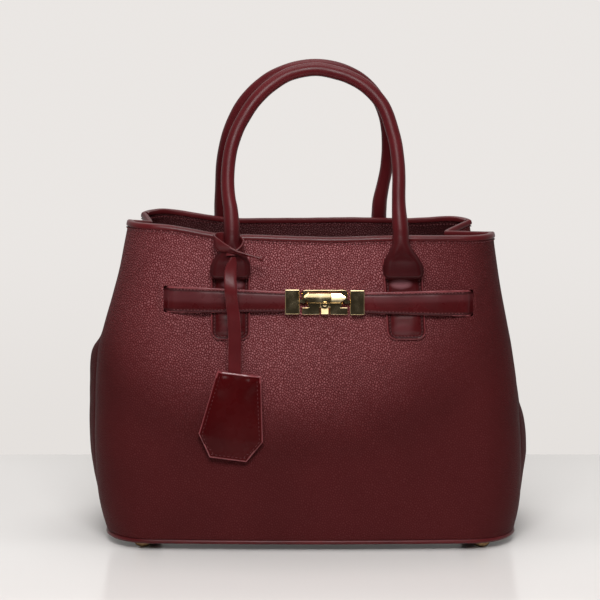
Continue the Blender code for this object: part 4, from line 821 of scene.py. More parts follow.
class Build:
    """Collects points and faces of one piece, each face with its material's number."""

    def __init__(self):
        self.points = []
        self.faces = []
        self.finishes = []

    def add(self, rows, faces, finish=0):
        first = len(self.points)
        self.points += [point for row in rows for point in row]
        self.faces += [tuple(first + corner for corner in face) for face in faces]
        self.finishes += [finish] * len(faces)

    def loft(self, rings, finish=0, closed=False):
        """A skin over rings of points, with its ends capped unless it is closed into a loop."""
        sides = len(rings[0])
        faces = []
        for step in range(len(rings) if closed else len(rings) - 1):
            first = step * sides
            second = (step + 1) % len(rings) * sides
            for side in range(sides):
                after = (side + 1) % sides
                faces.append((first + side, first + after, second + after, second + side))
        if not closed:
            faces.append(tuple(reversed(range(sides))))
            faces.append(tuple(range((len(rings) - 1) * sides, len(rings) * sides)))
        self.add(rings, faces, finish)

    def shell(self, outer, inner):
        """A closed sheet between two grids."""
        rows = len(outer)
        columns = len(outer[0])
        back = rows * columns
        faces = []
        for row in range(rows - 1):
            for column in range(columns - 1):
                a = row * columns + column
                corners = (a, a + 1, a + columns + 1, a + columns)
                faces += [corners, tuple(back + corner for corner in reversed(corners))]
                at_edge = (row == 0, column == columns - 2, row == rows - 2, column == 0)
                for number in range(4):
                    if at_edge[number]:
                        one, two = corners[number], corners[(number + 1) % 4]
                        faces.append((two, one, back + one, back + two))
        self.add(outer + inner, faces)

    def stitch(self, centre, along, out, length, radius):
        """One stitch: a short thread that dips into the leather at both ends."""
        across = along.cross(out).normalized()
        rings = []
        for place in (-1.0, -0.72, -0.3, 0.3, 0.72, 1.0):
            middle = centre + along * (place * length / 2) + out * (radius * (0.75 - 1.9 * place ** 4))
            rings.append(circle(middle, across, out, radius * (1 - 0.25 * place ** 2), 6))
        self.loft(rings, THREAD_SLOT)

    def make(self, name, finishes, body=None, stands_for=(), smooth=40):
        mesh = bpy.data.meshes.new(name)
        mesh.from_pydata([point + SHIFT for point in self.points], [], self.faces)
        for finish in finishes:
            mesh.materials.append(finish)
        mesh.polygons.foreach_set("material_index", self.finishes)
        work = bmesh.new()
        work.from_mesh(mesh)
        bmesh.ops.recalc_face_normals(work, faces=work.faces)
        work.to_mesh(mesh)
        work.free()
        mesh.shade_smooth()
        mesh.set_sharp_from_angle(angle=math.radians(smooth))
        piece = bpy.data.objects.new(name, mesh)
        bpy.context.scene.collection.objects.link(piece)
        if body:
            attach(piece, body)
        if stands_for:
            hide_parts(*stands_for)
        return piece

def circle(centre, first, second, radius, sides):
    """A ring of points round a centre, in the plane of two directions."""
    angles = [2 * math.pi * side / sides for side in range(sides)]
    return [centre + (first * math.cos(angle) + second * math.sin(angle)) * radius for angle in angles]


def stitch_line(build, trail, pitch, length, slant=0.0, radius=THREAD_RADIUS):
    """Stitches at an even pitch along a trail of (point, outward direction) pairs."""
    line, outs = zip(*trail)
    lengths = [0.0]
    for before, after in zip(line, line[1:]):
        lengths.append(lengths[-1] + (after - before).length)
    count = max(1, int(lengths[-1] / pitch))
    index = 0
    for number in range(count):
        target = (number + 0.5) * lengths[-1] / count
        while index < len(line) - 2 and lengths[index + 1] < target:
            index += 1
        share = (target - lengths[index]) / max(lengths[index + 1] - lengths[index], 1e-9)
        out = outs[index].lerp(outs[index + 1], share).normalized()
        along = (line[index + 1] - line[index]).normalized()
        along = (along + along.cross(out) * slant).normalized()
        build.stitch(line[index].lerp(line[index + 1], share), along, out, length, radius)


def paint_edge(piece, is_edge, finish=EDGE_SLOT):
    """Gives the leather faces near a cut edge, or in a stitch groove, another of the piece's materials."""
    for face in piece.data.polygons:
        if face.material_index == 0 and is_edge(face.center - SHIFT):
            face.material_index = finish


# Walls

WALL_ROWS = spaced(0.0, 0.94, 96) + [0.955, 0.968, 0.98, 0.99, 1.0]


def plan_outs(ring):
    """Outward directions square to a wall ring in plan."""
    outs = []
    for before, after in zip(ring[-1:] + ring, ring[1:] + ring[:1]):
        along = after - before
        outs.append(Vector((along.y, -along.x, 0)).normalized())
    return outs


def turned_edge(points, outs):
    """Rounds a panel's seam edges by drawing the outermost columns in a little."""
    for column in range(EDGE_COLUMNS):
        draw = EDGE_DRAW * (1 - column / EDGE_COLUMNS) ** 2
        for end in (column, -1 - column):
            points[end] = points[end] - outs[end] * draw
    return points


def seam_tapes(build, span):
    """Tapes behind both seams of a gusset, from under the lining's edge up to the binding."""
    shares = spaced(share_at(FACING_BOTTOM - 0.006), 1 - (BINDING_HEIGHT + GAP) / WALL_HEIGHT, 16)
    for corner in span:
        build.shell(*sheets(shares, PANEL_THICKNESS + GAP / 2, TAPE_THICKNESS, (corner - 1, corner + 1)))


def build_walls():
    outer = [wall_ring(share, 0.0) for share in WALL_ROWS]
    inner = [wall_ring(share, PANEL_THICKNESS) for share in WALL_ROWS]
    for label, span in WALLS.items():
        side = PANEL_SIDES.get(label)
        outer_grid = []
        inner_grid = []
        for out_ring, in_ring in zip(outer, inner):
            outs = stretch(plan_outs(out_ring), span)
            skin = stretch(out_ring, span)
            lining = stretch(in_ring, span)
            for grid_row in (skin, lining):
                for end, neighbour in ((0, 1), (-1, -2)):
                    along = (grid_row[neighbour] - grid_row[end]).normalized()
                    grid_row[end] += along * GAP / 2
            if side:
                moved = softened(skin, outs, side)
                lining = [p + (m - s) * INNER_RELIEF for p, m, s in zip(lining, moved, skin)]
                skin = moved
            outer_grid.append(turned_edge(skin, outs))
            inner_grid.append(lining)
        build = Build()
        build.shell(outer_grid, inner_grid)
        if not side:
            seam_tapes(build, span)
        name = label + ("_panel" if side else "_gusset")
        panel = build.make(name + "_leather", [PEBBLED if side else PEBBLED_SIDE])
        if side == FRONT:
            cut_slits(panel)
        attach(panel, "bag")
        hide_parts(name)


def softened(points, outs, side):
    """Wall points moved out by the leather's own relief."""
    moved = []
    for point, out in zip(points, outs):
        amount = relief(point.x, point.z, side)
        if side == FRONT:
            amount += slit_pucker(point.x, point.z)
        moved.append(point + out * amount)
    return moved


def cut_slits(panel):
    """Cuts the two belt slits, with round ends."""
    build = Build()
    radius = SLIT_OPENING / 2
    for slit_x in (LEFT_SLIT_X, RIGHT_SLIT_X):
        level = belt_level(slit_x)
        outline = []
        for end in (1, -1):
            for step in range(9):
                angle = math.pi * step / 8 + (0 if end == 1 else math.pi)
                outline.append((radius * math.cos(angle),
                                end * (BELT_OUTER_WIDTH / 2 + GAP - radius) + radius * math.sin(angle)))
        build.loft([[Vector((slit_x + x, y, level + z)) for x, z in outline] for y in SLIT_CUT])
    cutter = build.make("slit_cutter", [PEBBLED])
    cut = panel.modifiers.new("slits", "BOOLEAN")
    cut.object = cutter
    cut.operation = "DIFFERENCE"
    cut.solver = "EXACT"
    bpy.context.view_layer.update()
    finished = bpy.data.meshes.new_from_object(panel.evaluated_get(bpy.context.evaluated_depsgraph_get()))
    panel.modifiers.clear()
    panel.data = finished
    bpy.data.objects.remove(cutter)


def channel_section(stack):
    """An upside-down channel over a stack of leather, as (distance inwards, drop below the rim) pairs."""
    outside = -GAP - BINDING_THICKNESS
    inside = stack + GAP + BINDING_THICKNESS
    middle = (outside + inside) / 2
    wide = (inside - outside) / 2
    height = BINDING_HEIGHT
    section = [(outside + 0.00025, height), (outside, height - 0.0005), (outside - 0.0001, height * 0.55)]
    for step in range(9):
        angle = math.pi * step / 8
        drop = BINDING_SHOULDER - (BINDING_CROWN + BINDING_SHOULDER) * math.sin(angle) ** 0.8
        section.append((middle - wide * math.cos(angle), drop))
    section += [(inside + 0.0001, height * 0.55), (inside, height - 0.0005), (inside - 0.00025, height)]
    far = inside - BINDING_THICKNESS
    near = outside + BINDING_THICKNESS
    return section + [(far, height), (far, -GAP * 0.8), (near, -GAP * 0.8), (near, height)]


def build_bindings():
    """Smooth leather folded over every top edge, stitched just above its lower edge on the panels."""
    for label, span in WALLS.items():
        faced = label in PANEL_SIDES
        stack = PANEL_THICKNESS + (GAP + FACING_THICKNESS if faced else 0.0)
        lines = []
        for distance, drop in channel_section(stack):
            line = stretch(wall_ring(1 - max(drop, 0.0) / WALL_HEIGHT, distance), span)
            lines.append([point - Z_AXIS * drop for point in line] if drop < 0 else line)
        rings = [list(ring) for ring in zip(*lines)]
        for ring in rings:
            wave = 0.00012 * noise.noise(ring[0] * 110.0)
            for place in range(3, 12):
                ring[place] = ring[place] + Z_AXIS * wave
        build = Build()
        build.loft(rings)
        if faced:
            outs = stretch(plan_outs(wall_ring(1.0, 0.0)), span)
            front = wall_ring(1 - (BINDING_HEIGHT + STITCH_DROP) / WALL_HEIGHT, 0.0)
            stitch_line(build, zip(stretch(front, span), outs), *EDGE_STITCH)
            behind = wall_ring(1 - (BINDING_HEIGHT + INSIDE_STITCH_DROP) / WALL_HEIGHT, stack)
            behind = stretch(behind, (span[0] + 3, span[1] - 3))
            stitch_line(build, zip(behind, [-out for out in outs[3:-3]]), *EDGE_STITCH)
        name = label + ("_rim_binding" if faced else "_gusset_binding")
        build.make(name + "_strip", [SMOOTH, PAINTED, THREAD], "bag", (name,))


def build_facings():
    """Leather facings behind both panels' rims, two columns short of the corners."""
    shares = spaced(share_at(FACING_BOTTOM), 1.0, 16)
    for label in PANEL_SIDES:
        start, end = WALLS[label]
        name = label + "_facing"
        build = Build()
        build.shell(*sheets(shares, PANEL_THICKNESS + GAP, FACING_THICKNESS, (start + 2, end - 2)))
        # Painted shade: the facings get the darkened inside leather
        build.make(name + "_leather", [PEBBLED_INSIDE_SHADED], "bag", (name,))


def build_lining():
    """The cloth lining: soft upright folds in the walls and a slightly slack floor."""
    edge = share_at(FACING_BOTTOM + LINING_OVERLAP)
    near = PANEL_THICKNESS + 2 * GAP + FACING_THICKNESS

    def slack(point, share):
        away = ease(share / 0.12) * ease((edge - share) / 0.10)
        return away * (0.0009 + 0.0011 * noise.noise(Vector((point.x * 26, point.y * 26, share * 2.2 + 7))))

    walls = []
    for share in spaced(0.02, edge, 44):
        ring = wall_ring(share, near)
        walls.append([point - out * max(0.0, slack(point, share)) for point, out in zip(ring, plan_outs(ring))])
    middle = sum(walls[0], Vector()) / len(walls[0])
    base = wall_ring(0.0, near)
    floor = []
    for share in (0.15, 0.30, 0.46, 0.62, 0.76, 0.88, 0.95, 0.985):
        ring = []
        for point in base:
            place = Vector((lerp(middle.x, point.x, share), lerp(middle.y, point.y, share), 0))
            swell = 0.0010 * (1 + noise.noise(place * 30.0)) * ease((1 - share) * 6)
            place.z = LINING_FLOOR + swell + (0.0012 if share > 0.98 else 0.0)
            ring.append(place)
        floor.append(ring)
    inside = [[point + Z_AXIS * LINING_THICKNESS for point in ring] for ring in floor]
    inside += [[point - out * LINING_THICKNESS for point, out in zip(ring, plan_outs(ring))] for ring in walls]
    build = Build()
    build.loft(floor + walls + inside[::-1])
    build.make("lining_sack", [CLOTH], "bag", ("lining",))


def build_bottom():
    """Padded leather base, the welt round it, and turned metal feet."""
    base = wall_ring(0.0, PANEL_THICKNESS / 2 + PIPING_RADIUS + GAP)
    low = FOOT_HEIGHT + GAP
    top = low + BASE_THICKNESS
    build = Build()
    build.loft([[Vector((p.x * share, p.y * share, z)) for p in base] for share, z in (
        (0.997, top - 0.0003), (0.985, top), (0.5, top), (0.05, top), (0.05, low), (0.3, low), (0.6, low),
        (0.90, low), (0.985, low), (0.997, low + 0.0003), (1.0, low + 0.0010))])
    build.make("base_leather", [PEBBLED_BASE], "bag", ("base_panel",))

    centre = wall_ring(0.0, PANEL_THICKNESS / 2)
    rings = []
    for before, place, after in zip(centre[-1:] + centre, centre, centre[1:] + centre[:1]):
        along = (after - before).normalized()
        radius = PIPING_RADIUS * (1 + 0.03 * noise.noise(place * 90.0))
        rings.append(circle(Vector((place.x, place.y, PIPING_HEIGHT)), Vector((along.y, -along.x, 0)), Z_AXIS,
                            radius, 16))
    build = Build()
    build.loft(rings, closed=True)
    build.make("bottom_welt", [SMOOTH], "bag", ("bottom_piping",))

    for end, first_word in ((FRONT, "front_"), (BACK, "back_")):
        for side, second_word in ((LEFT, "left"), (RIGHT, "right")):
            x = side * (BASE_WIDTH / 2 - FOOT_INSET_X)
            y = end * (BASE_DEPTH / 2 - FOOT_INSET_Y)
            build = Build()
            build.loft([circle(Vector((x, y, z)), X_AXIS, Y_AXIS, max(radius, 0.00005), 40)
                        for radius, z in FOOT_PROFILE])
            label = first_word + second_word
            # The feet get the darker gold: painted shade
            build.make("foot_stud_" + label, [SHADED_FOOT_GOLD], "bag", ("foot_" + label,), 30)


# Handles

def hinge_place(x, side):
    return Vector((x, side * HANDLE_HINGE_DEPTH, HANDLE_HINGE_HEIGHT))


def handle_up(side):
    return Vector((0, -side * math.sin(HANDLE_LEAN), math.cos(HANDLE_LEAN)))


def tab_place(middle_x, end):
    """Where a handle's end meets its tab."""
    return middle_x + end * HANDLE_SPAN / 2 + (RIGHT_TAB_SPLAY if end == RIGHT else LEFT_TAB_SPLAY)


def flare_ring(leg_x, tab_x, side, end, share):
    """One section of the flared end: round at the neck, then a flat-topped pad."""
    top = HANDLE_HINGE_HEIGHT - (HANDLE_RADIUS + GAP) * math.cos(HANDLE_LEAN)
    z = lerp(top, FLARE_BOTTOM, share)
    wide = lerp(HANDLE_RADIUS + 0.0009, FLARE_WIDTH / 2, ease((share - 0.10) / 0.66))
    thick = along_keys(((0.0, HANDLE_RADIUS + 0.0006), (0.36, 0.0063), (0.58, 0.0058), (0.93, 0.0054),
                        (1.0, 0.0032)), share)
    x = lerp(leg_x, tab_x, ease(share))
    hinge = hinge_place(leg_x, side)
    hanging = abs(hinge.y) + (hinge.z - z) * math.tan(HANDLE_LEAN)
    seated = abs(skin_depth(x, z, side)) + TAB_THICKNESS + 2 * GAP + thick
    centre = Vector((x, side * lerp(hanging, seated, ease(share / 0.6)), z))
    across = X_AXIS.cross(handle_up(side).lerp(Z_AXIS, ease(share / 0.3)).normalized())
    plateau = along_keys(((0.10, 0.10), (0.32, 0.40), (0.60, 0.68), (1.0, 0.76)), share)
    flat = ease((share - 0.12) / 0.35)
    squeeze = 1 - 0.10 * ease((share - 0.86) / 0.14)
    ring = []
    for step in range(HANDLE_SIDES):
        angle = 2 * math.pi * step / HANDLE_SIDES
        c = math.cos(angle)
        s = math.sin(angle)
        u = math.copysign(abs(c) ** lerp(1.0, 0.72, flat), c)
        level = abs(s) ** lerp(1.0, 0.6, flat)
        if s * -side > 0:
            if abs(u) <= plateau:
                dip = 0.05 + 0.15 * bell((share - 0.34) / 0.19)
                height = 1.0 - dip * (1 - (abs(u) / plateau) ** 2)
            else:
                fall = (abs(u) - plateau) / (1 - plateau)
                height = lerp(1.0, 0.30, fall * fall * (1.7 - 0.7 * fall))
            level = lerp(abs(s), height * clamp(abs(s) * 3.0), flat)
        ring.append(centre + X_AXIS * end * (wide * u * squeeze) + across * (thick * math.copysign(level, s)))
    return ring


def build_handle(label, middle_x, arch, side):
    """One rolled handle with both flared ends: leather over a cord that starts a little above the hinge."""
    up = handle_up(side)
    across = X_AXIS.cross(up)
    hinge = hinge_place(0.0, side)
    shares = [1.0, 0.985, 0.96] + [0.92 - 0.92 * step / 26 for step in range(27)]
    rings = [flare_ring(arch[0][0], tab_place(middle_x, LEFT), side, LEFT, share) for share in shares]
    cord = []
    seam_trail = []
    path = smooth_path(arch, 141)
    for before, (x, rise), after in zip(path[:1] + path, path, path[1:] + path[-1:]):
        along = (X_AXIS * (after[0] - before[0]) + up * (after[1] - before[1])).normalized()
        out = across.cross(along)
        centre = hinge + X_AXIS * x + up * rise
        radius = HANDLE_RADIUS * (1 + 0.020 * noise.noise(centre * 55.0)) + 0.0009 * (1 - ease(rise / 0.024))
        ring = []
        for step in range(HANDLE_SIDES):
            angle = 2 * math.pi * step / HANDLE_SIDES
            seam = 0.00075 * bell((angle - math.pi) / 0.15)
            ring.append(centre + (out * math.cos(angle) + across * math.sin(angle)) * (radius - seam))
        rings.append(ring)
        if rise > CORD_START:
            cord.append(circle(centre, out, across, CORD_RADIUS, 20))
        if rise > SEAM_START:
            seam_trail.append((centre - out * (radius - 0.00085), -out))
    rings += [flare_ring(arch[-1][0], tab_place(middle_x, RIGHT), side, RIGHT, share) for share in shares[::-1]]
    build = Build()
    build.loft(rings)
    stitch_line(build, seam_trail, *HANDLE_STITCH, radius=HANDLE_THREAD_RADIUS)
    nodes = [label + "_handle_wrap", "handle_base_%s_left" % label, "handle_base_%s_right" % label]
    handle = build.make(label + "_handle_leather", [HANDLE, PAINTED, THREAD], None, nodes, 60)
    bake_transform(handle)
    build = Build()
    build.loft(cord)
    build.make(label + "_handle_cord", [CORD], label + "_handle", (label + "_handle_core",), 60)


def tab_height(inside, z, side):
    """Thickness of a tab by the distance from its edge: painted rim, stitch groove, padded middle."""
    rim = along_keys(TAB_PROFILE, inside)
    swell = 0.0
    if side == FRONT:
        away = abs(z - BELT_HEIGHT) - BELT_OUTER_WIDTH / 2
        swell = 0.0007 * ease(away / 0.010)
        rim = min(rim, 0.0026 + 0.0004 * ease(away / 0.003))
    return rim + swell * ease((inside - 0.0036) / 0.005)


def build_tab(name, x, lean, side):
    """A stitched tab: painted edge, sunken stitch line and padded middle."""
    body = TAB_TOP - TAB_BOTTOM
    inner_edge = TAB_WIDTH / 2 - TAB_CORNER_RADIUS
    rises = [TAB_CORNER_RADIUS * (1 - math.cos(math.radians(angle))) for angle in range(0, 91, 9)]
    rises += spaced(TAB_CORNER_RADIUS, body, 40)[1:]
    columns = sorted({round(lerp(-1, 1, k / 40), 4) for k in range(41)}
                     | {end * place for end in (-1, 1) for place in (0.985, 0.965, 0.93, 0.88)})

    def inside_of(across, rise):
        dx = abs(across) - inner_edge
        dz = TAB_CORNER_RADIUS - rise
        if dx > 0 and dz > 0:
            return TAB_CORNER_RADIUS - math.hypot(dx, dz)
        return min(TAB_WIDTH / 2 - abs(across), rise)

    def middle_at(rise):
        return x + lean * (1 - rise / (FLARE_BOTTOM - TAB_BOTTOM))

    def face_point(across, rise):
        z = TAB_BOTTOM + rise
        height = tab_height(max(inside_of(across, rise), 0.0), z, side)
        return skin_point(middle_at(rise) + across, z, side, GAP + height)

    outer = []
    inner = []
    for rise in rises:
        drawn = TAB_CORNER_RADIUS - min(rise, TAB_CORNER_RADIUS)
        width = inner_edge + math.sqrt(max(TAB_CORNER_RADIUS ** 2 - drawn ** 2, 0.0))
        outer.append([face_point(width * column, rise) for column in columns])
        inner.append([skin_point(middle_at(rise) + width * column, TAB_BOTTOM + rise, side, GAP)
                      for column in columns])
    build = Build()
    build.shell(outer, inner)
    reach = TAB_WIDTH / 2 - TAB_SETBACK
    radius = TAB_CORNER_RADIUS - TAB_SETBACK
    route = [(-reach, rise) for rise in spaced(body - 0.012, TAB_CORNER_RADIUS, 24)]
    for angle in range(9, 91, 9):
        a = math.radians(angle)
        route.append((-reach + radius * (1 - math.cos(a)), TAB_CORNER_RADIUS - radius * math.sin(a)))
    route += [(-across, rise) for across, rise in reversed(route)]
    trail = [(face_point(across, rise), skin_out(middle_at(rise) + across, TAB_BOTTOM + rise, side))
             for across, rise in route]
    stitch_line(build, trail, *EDGE_STITCH, 0.25)
    piece = build.make(name + "_pad", [TAB, PAINTED, THREAD, PAINTED_GROOVE_SHADE], "bag", (name,), 50)

    def margin(place):
        return inside_of(place.x - middle_at(place.z - TAB_BOTTOM), place.z - TAB_BOTTOM)

    paint_edge(piece, lambda place: margin(place) < TAB_EDGE)
    # Painted shade in the stitch groove
    paint_edge(piece, lambda place: TAB_GROOVE[0] < margin(place) < TAB_GROOVE[1], GROOVE_SHADE_SLOT)


def build_tabs():
    for label, middle_x, side in (("front", FRONT_HANDLE_X, FRONT), ("back", BACK_HANDLE_X, BACK)):
        for name, end, lean in (("left", LEFT, 0.0), ("right", RIGHT, RIGHT_TAB_LEAN)):
            build_tab("handle_tab_%s_%s" % (label, name), tab_place(middle_x, end), lean, side)


# Belt

def belt_half_width(x, slit_x):
    share = (x - CLASP_X) / (slit_x - CLASP_X)
    return lerp(BELT_INNER_WIDTH, BELT_OUTER_WIDTH, ease(share * 1.15 - 0.1)) / 2


def belt_lift(x, tab_edge, slit_x):
    side = 1 if slit_x > 0 else -1
    leaving = slit_x - side * SLIT_WIDTH / 2
    share = (leaving - x) / (leaving - (tab_edge + side * 0.004))
    return lerp(GAP, TAB_THICKNESS + 2 * GAP, ease(share))


def build_belt(name, slit_x, end_x, tab_edge, nodes, bend_x):
    """A belt from its slit to the clasp: crowned, stitched, with painted edges."""
    side = 1 if slit_x > 0 else -1
    reach = abs(end_x - slit_x)
    behind = -PANEL_THICKNESS - 1.5 * GAP - 0.0008
    rings = []
    crest = []
    for s in BELT_ENTRY + spaced(0.0055, reach, 74):
        x = slit_x - side * s
        level = belt_level(x)
        corner = clamp(1 - (s + 0.0006) / 0.0026)
        half = belt_half_width(x, slit_x) - 0.0018 * (1 - math.sqrt(1 - corner ** 2))
        half *= 1 + 0.014 * noise.noise(Vector((x * 48.0, 11.0, side * 2.0))) * ease(s / 0.01)
        lift = lerp(belt_lift(x, tab_edge, slit_x), behind, ease((0.0030 - s) / 0.0048))
        thick = lerp(BELT_THICKNESS, 0.0008, ease((0.0062 - s) / 0.0052))
        wave = (0.00075 + 0.0013 * noise.noise(Vector((x * 42.0, 3.0, side * 5.0)))) * ease((s - 0.006) / 0.02)
        slack = ease((reach - s) / 0.02) * ease((abs(x - LACE_TOP.x) - 0.008) / 0.012)
        loose = max(wave, 0) * slack
        rings.append([skin_point(x, level + up * half, FRONT, lift + thick * out + loose)
                      for up, out in BELT_SECTION])
        crest.append((x, level, half, lift + thick * 0.70 + loose))
    build = Build()
    build.loft(rings)
    for edge in (-1, 1):
        trail = []
        for x, level, half, lift in crest[len(BELT_ENTRY):]:
            if abs(x - end_x) >= 0.0010:
                z = level + edge * half * BELT_STITCH_PLACE
                trail.append((skin_point(x, z, FRONT, lift), skin_out(x, z, FRONT)))
        stitch_line(build, trail, *BELT_STITCH, 0.12 * edge)
    belt = build.make(name, [BELT, PAINTED, THREAD, PAINTED_GROOVE_SHADE], None, nodes, 50)

    def across(place):
        return abs(place.z - belt_level(place.x)) / belt_half_width(place.x, slit_x)

    paint_edge(belt, lambda place: across(place) > BELT_EDGE)
    # Painted shade in the stitch groove
    paint_edge(belt, lambda place: BELT_GROOVE[0] < across(place) < BELT_GROOVE[1], GROOVE_SHADE_SLOT)
    lift = belt_lift(bend_x, tab_edge, slit_x) + BELT_THICKNESS / 2
    middle = skin_point(bend_x, belt_level(bend_x), FRONT, lift) + SHIFT
    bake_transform(belt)


def build_belts():
    left_tab = tab_place(FRONT_HANDLE_X, LEFT) - TAB_WIDTH / 2
    right_tab = tab_place(FRONT_HANDLE_X, RIGHT) + RIGHT_TAB_LEAN + TAB_WIDTH / 2
    build_belt("belt_left_strap", LEFT_SLIT_X, CLASP_X - BELT_TO_CLASP, left_tab,
               ("belt_left", "belt_left_end"), LEFT_BEND_X)
    build_belt("belt_right_strap", RIGHT_SLIT_X, CLASP_X + BELT_TO_CLASP, right_tab,
               ("belt_right", "belt_right_anchor"), RIGHT_BEND_X)


# Key fob

def ribbon(build, stations, thickness):
    """A flat lace through (centre, width direction, half width) stations."""
    centres = [station[0] for station in stations]
    rings = []
    for before, (centre, rise, half), after in zip(centres[:1] + centres, stations, centres[1:] + centres[-1:]):
        along = (after - before).normalized()
        rise = (rise - along * rise.dot(along)).normalized()
        out = rise.cross(along).normalized()
        rings.append([centre + rise * (half * up) + out * (thickness / 2 * depth)
                      for up, depth in RIBBON_SECTION])
    build.loft(rings)


def build_lace_loop():
    """The lace tied round the handle leg: a broad band behind, a twisted narrow tail in front."""
    stations = []
    for x, y, z, half, twist in smooth_path(LACE_LOOP, 110):
        around = Vector((x + 0.063, y + 0.0625, 0)).normalized()
        turn = math.radians(twist)
        rise = Z_AXIS * math.cos(turn) + (around * 0.3 - Y_AXIS * 0.7) * math.sin(turn)
        stations.append((Vector((x, y, z)), rise, half))
    build = Build()
    ribbon(build, stations, LOOP_THICKNESS)
    rings = []
    for step in range(9):
        angle = math.pi * step / 8
        rings.append(circle(LACE_KNOT + X_AXIS * (-0.0021 * math.cos(angle)), Y_AXIS, Z_AXIS,
                            0.00002 + 0.0019 * math.sin(angle) ** 0.7, 14))
    build.loft(rings)
    ribbon(build, [(Vector(place), X_AXIS, half) for *place, half in LACE_KEEPER], KEEPER_THICKNESS)
    build.make("lace_band", [SMOOTH, PAINTED, THREAD], "bag", ("lace_loop",), 50)


def lace_place(share):
    place = LACE_TOP.lerp(FOB_SEAT, share)
    place.x = along_line(LACE_SWAY, share, 0.05)
    place.y -= 0.0028 * bell((share - 0.27) / 0.11)
    return place


def build_lace_strap():
    """The hanging run of the lace, with the thick stop sewn on its end inside the fob."""
    stations = []
    for share in spaced(0.0, 1.0, 46):
        half = along_keys(((0.0, 0.0024), (0.05, 0.0040), (0.12, 0.0047), (1.0, 0.0049)), share)
        turn = math.radians(along_keys(((0.0, 30), (0.12, 10), (0.4, -6), (0.75, 4), (1.0, 0)), share))
        stations.append((lace_place(share), half, LACE_THICKNESS / 2, turn))
    for drop, half, thick in LACE_STOP:
        stations.append((FOB_SEAT - Z_AXIS * drop, half, thick, 0.0))
    rings = []
    for place, half, thick, turn in stations:
        right = Vector((math.cos(turn), math.sin(turn), 0))
        out = Vector((math.sin(turn), -math.cos(turn), 0))
        rings.append([place + right * (half * x) + out * (thick * y) for x, y in STRAP_SECTION])
    lead = [point + Z_AXIS * 0.0007 + (LACE_TOP - point) * 0.18 for point in rings[0]]
    build = Build()
    build.loft([lead] + rings)
    strap = build.make("lace_run", [SMOOTH, PAINTED, THREAD], "lace", ("lace_strap",), 50)

    def is_edge(place):
        share = (LACE_TOP.z - place.z) / (LACE_TOP.z - FOB_SEAT.z)
        return 0 < share < 1 and abs(place.x - lace_place(share).x) > LACE_EDGE

    paint_edge(strap, is_edge)


def fob_half_width(drop):
    if drop <= FOB_SHOULDER:
        return lerp(FOB_TOP_WIDTH, FOB_WIDTH, drop / FOB_SHOULDER) / 2
    return lerp(FOB_WIDTH, FOB_BOTTOM_WIDTH, (drop - FOB_SHOULDER) / (FOB_LENGTH - FOB_SHOULDER)) / 2


def fob_point(x, out, drop):
    return FOB_SEAT + FOB_RIGHT * x - Y_AXIS * out - FOB_UP * drop


def fob_inside(x, drop):
    """Distance from a point of the leaf to its cut edges."""
    place = Vector((x, drop))
    nearest = max(drop, 0.0)
    for first, second in zip(FOB_CORNERS, FOB_CORNERS[1:]):
        a = Vector(first)
        along = Vector(second) - a
        share = clamp((place - a).dot(along) / along.length_squared)
        nearest = min(nearest, (place - a - along * share).length)
    return nearest


def fob_apart(x, drop):
    """How far each leaf stands from the middle between them, over the lace's end."""
    half = fob_half_width(drop)
    room = 1 - abs((x - FOB_SHIFT) / half) ** 3
    if drop < 0.020:
        edge = half + math.copysign(FOB_SHIFT, x + 1e-9)
        mouth = 1 - ease((abs(x) - FOB_MOUTH_WIDTH / 2) / (edge - FOB_MOUTH_WIDTH / 2))
        room = lerp(mouth, room, ease((drop - 0.012) / 0.008))
    if drop > FOB_SHOULDER:
        room *= 1 - ease((drop - FOB_SHOULDER) / (FOB_LENGTH - FOB_SHOULDER))
    return GAP / 2 + (FOB_CAVITY - GAP / 2) * room


def fob_relief(x, drop, inside, side):
    """How a leaf's outer face departs from an even thickness."""
    rim = 1 - ease(inside / FOB_EDGE)
    if side == BACK:
        return -0.0004 * rim
    swell = sum(high * bell((x - middle) / wide, (drop - low) / tall)
                for middle, low, wide, tall, high in FOB_SWELLS)
    return -0.0005 * rim - 0.00022 * bell((inside - 0.0026) / 0.0007) + swell * ease((inside - 0.001) / 0.004)


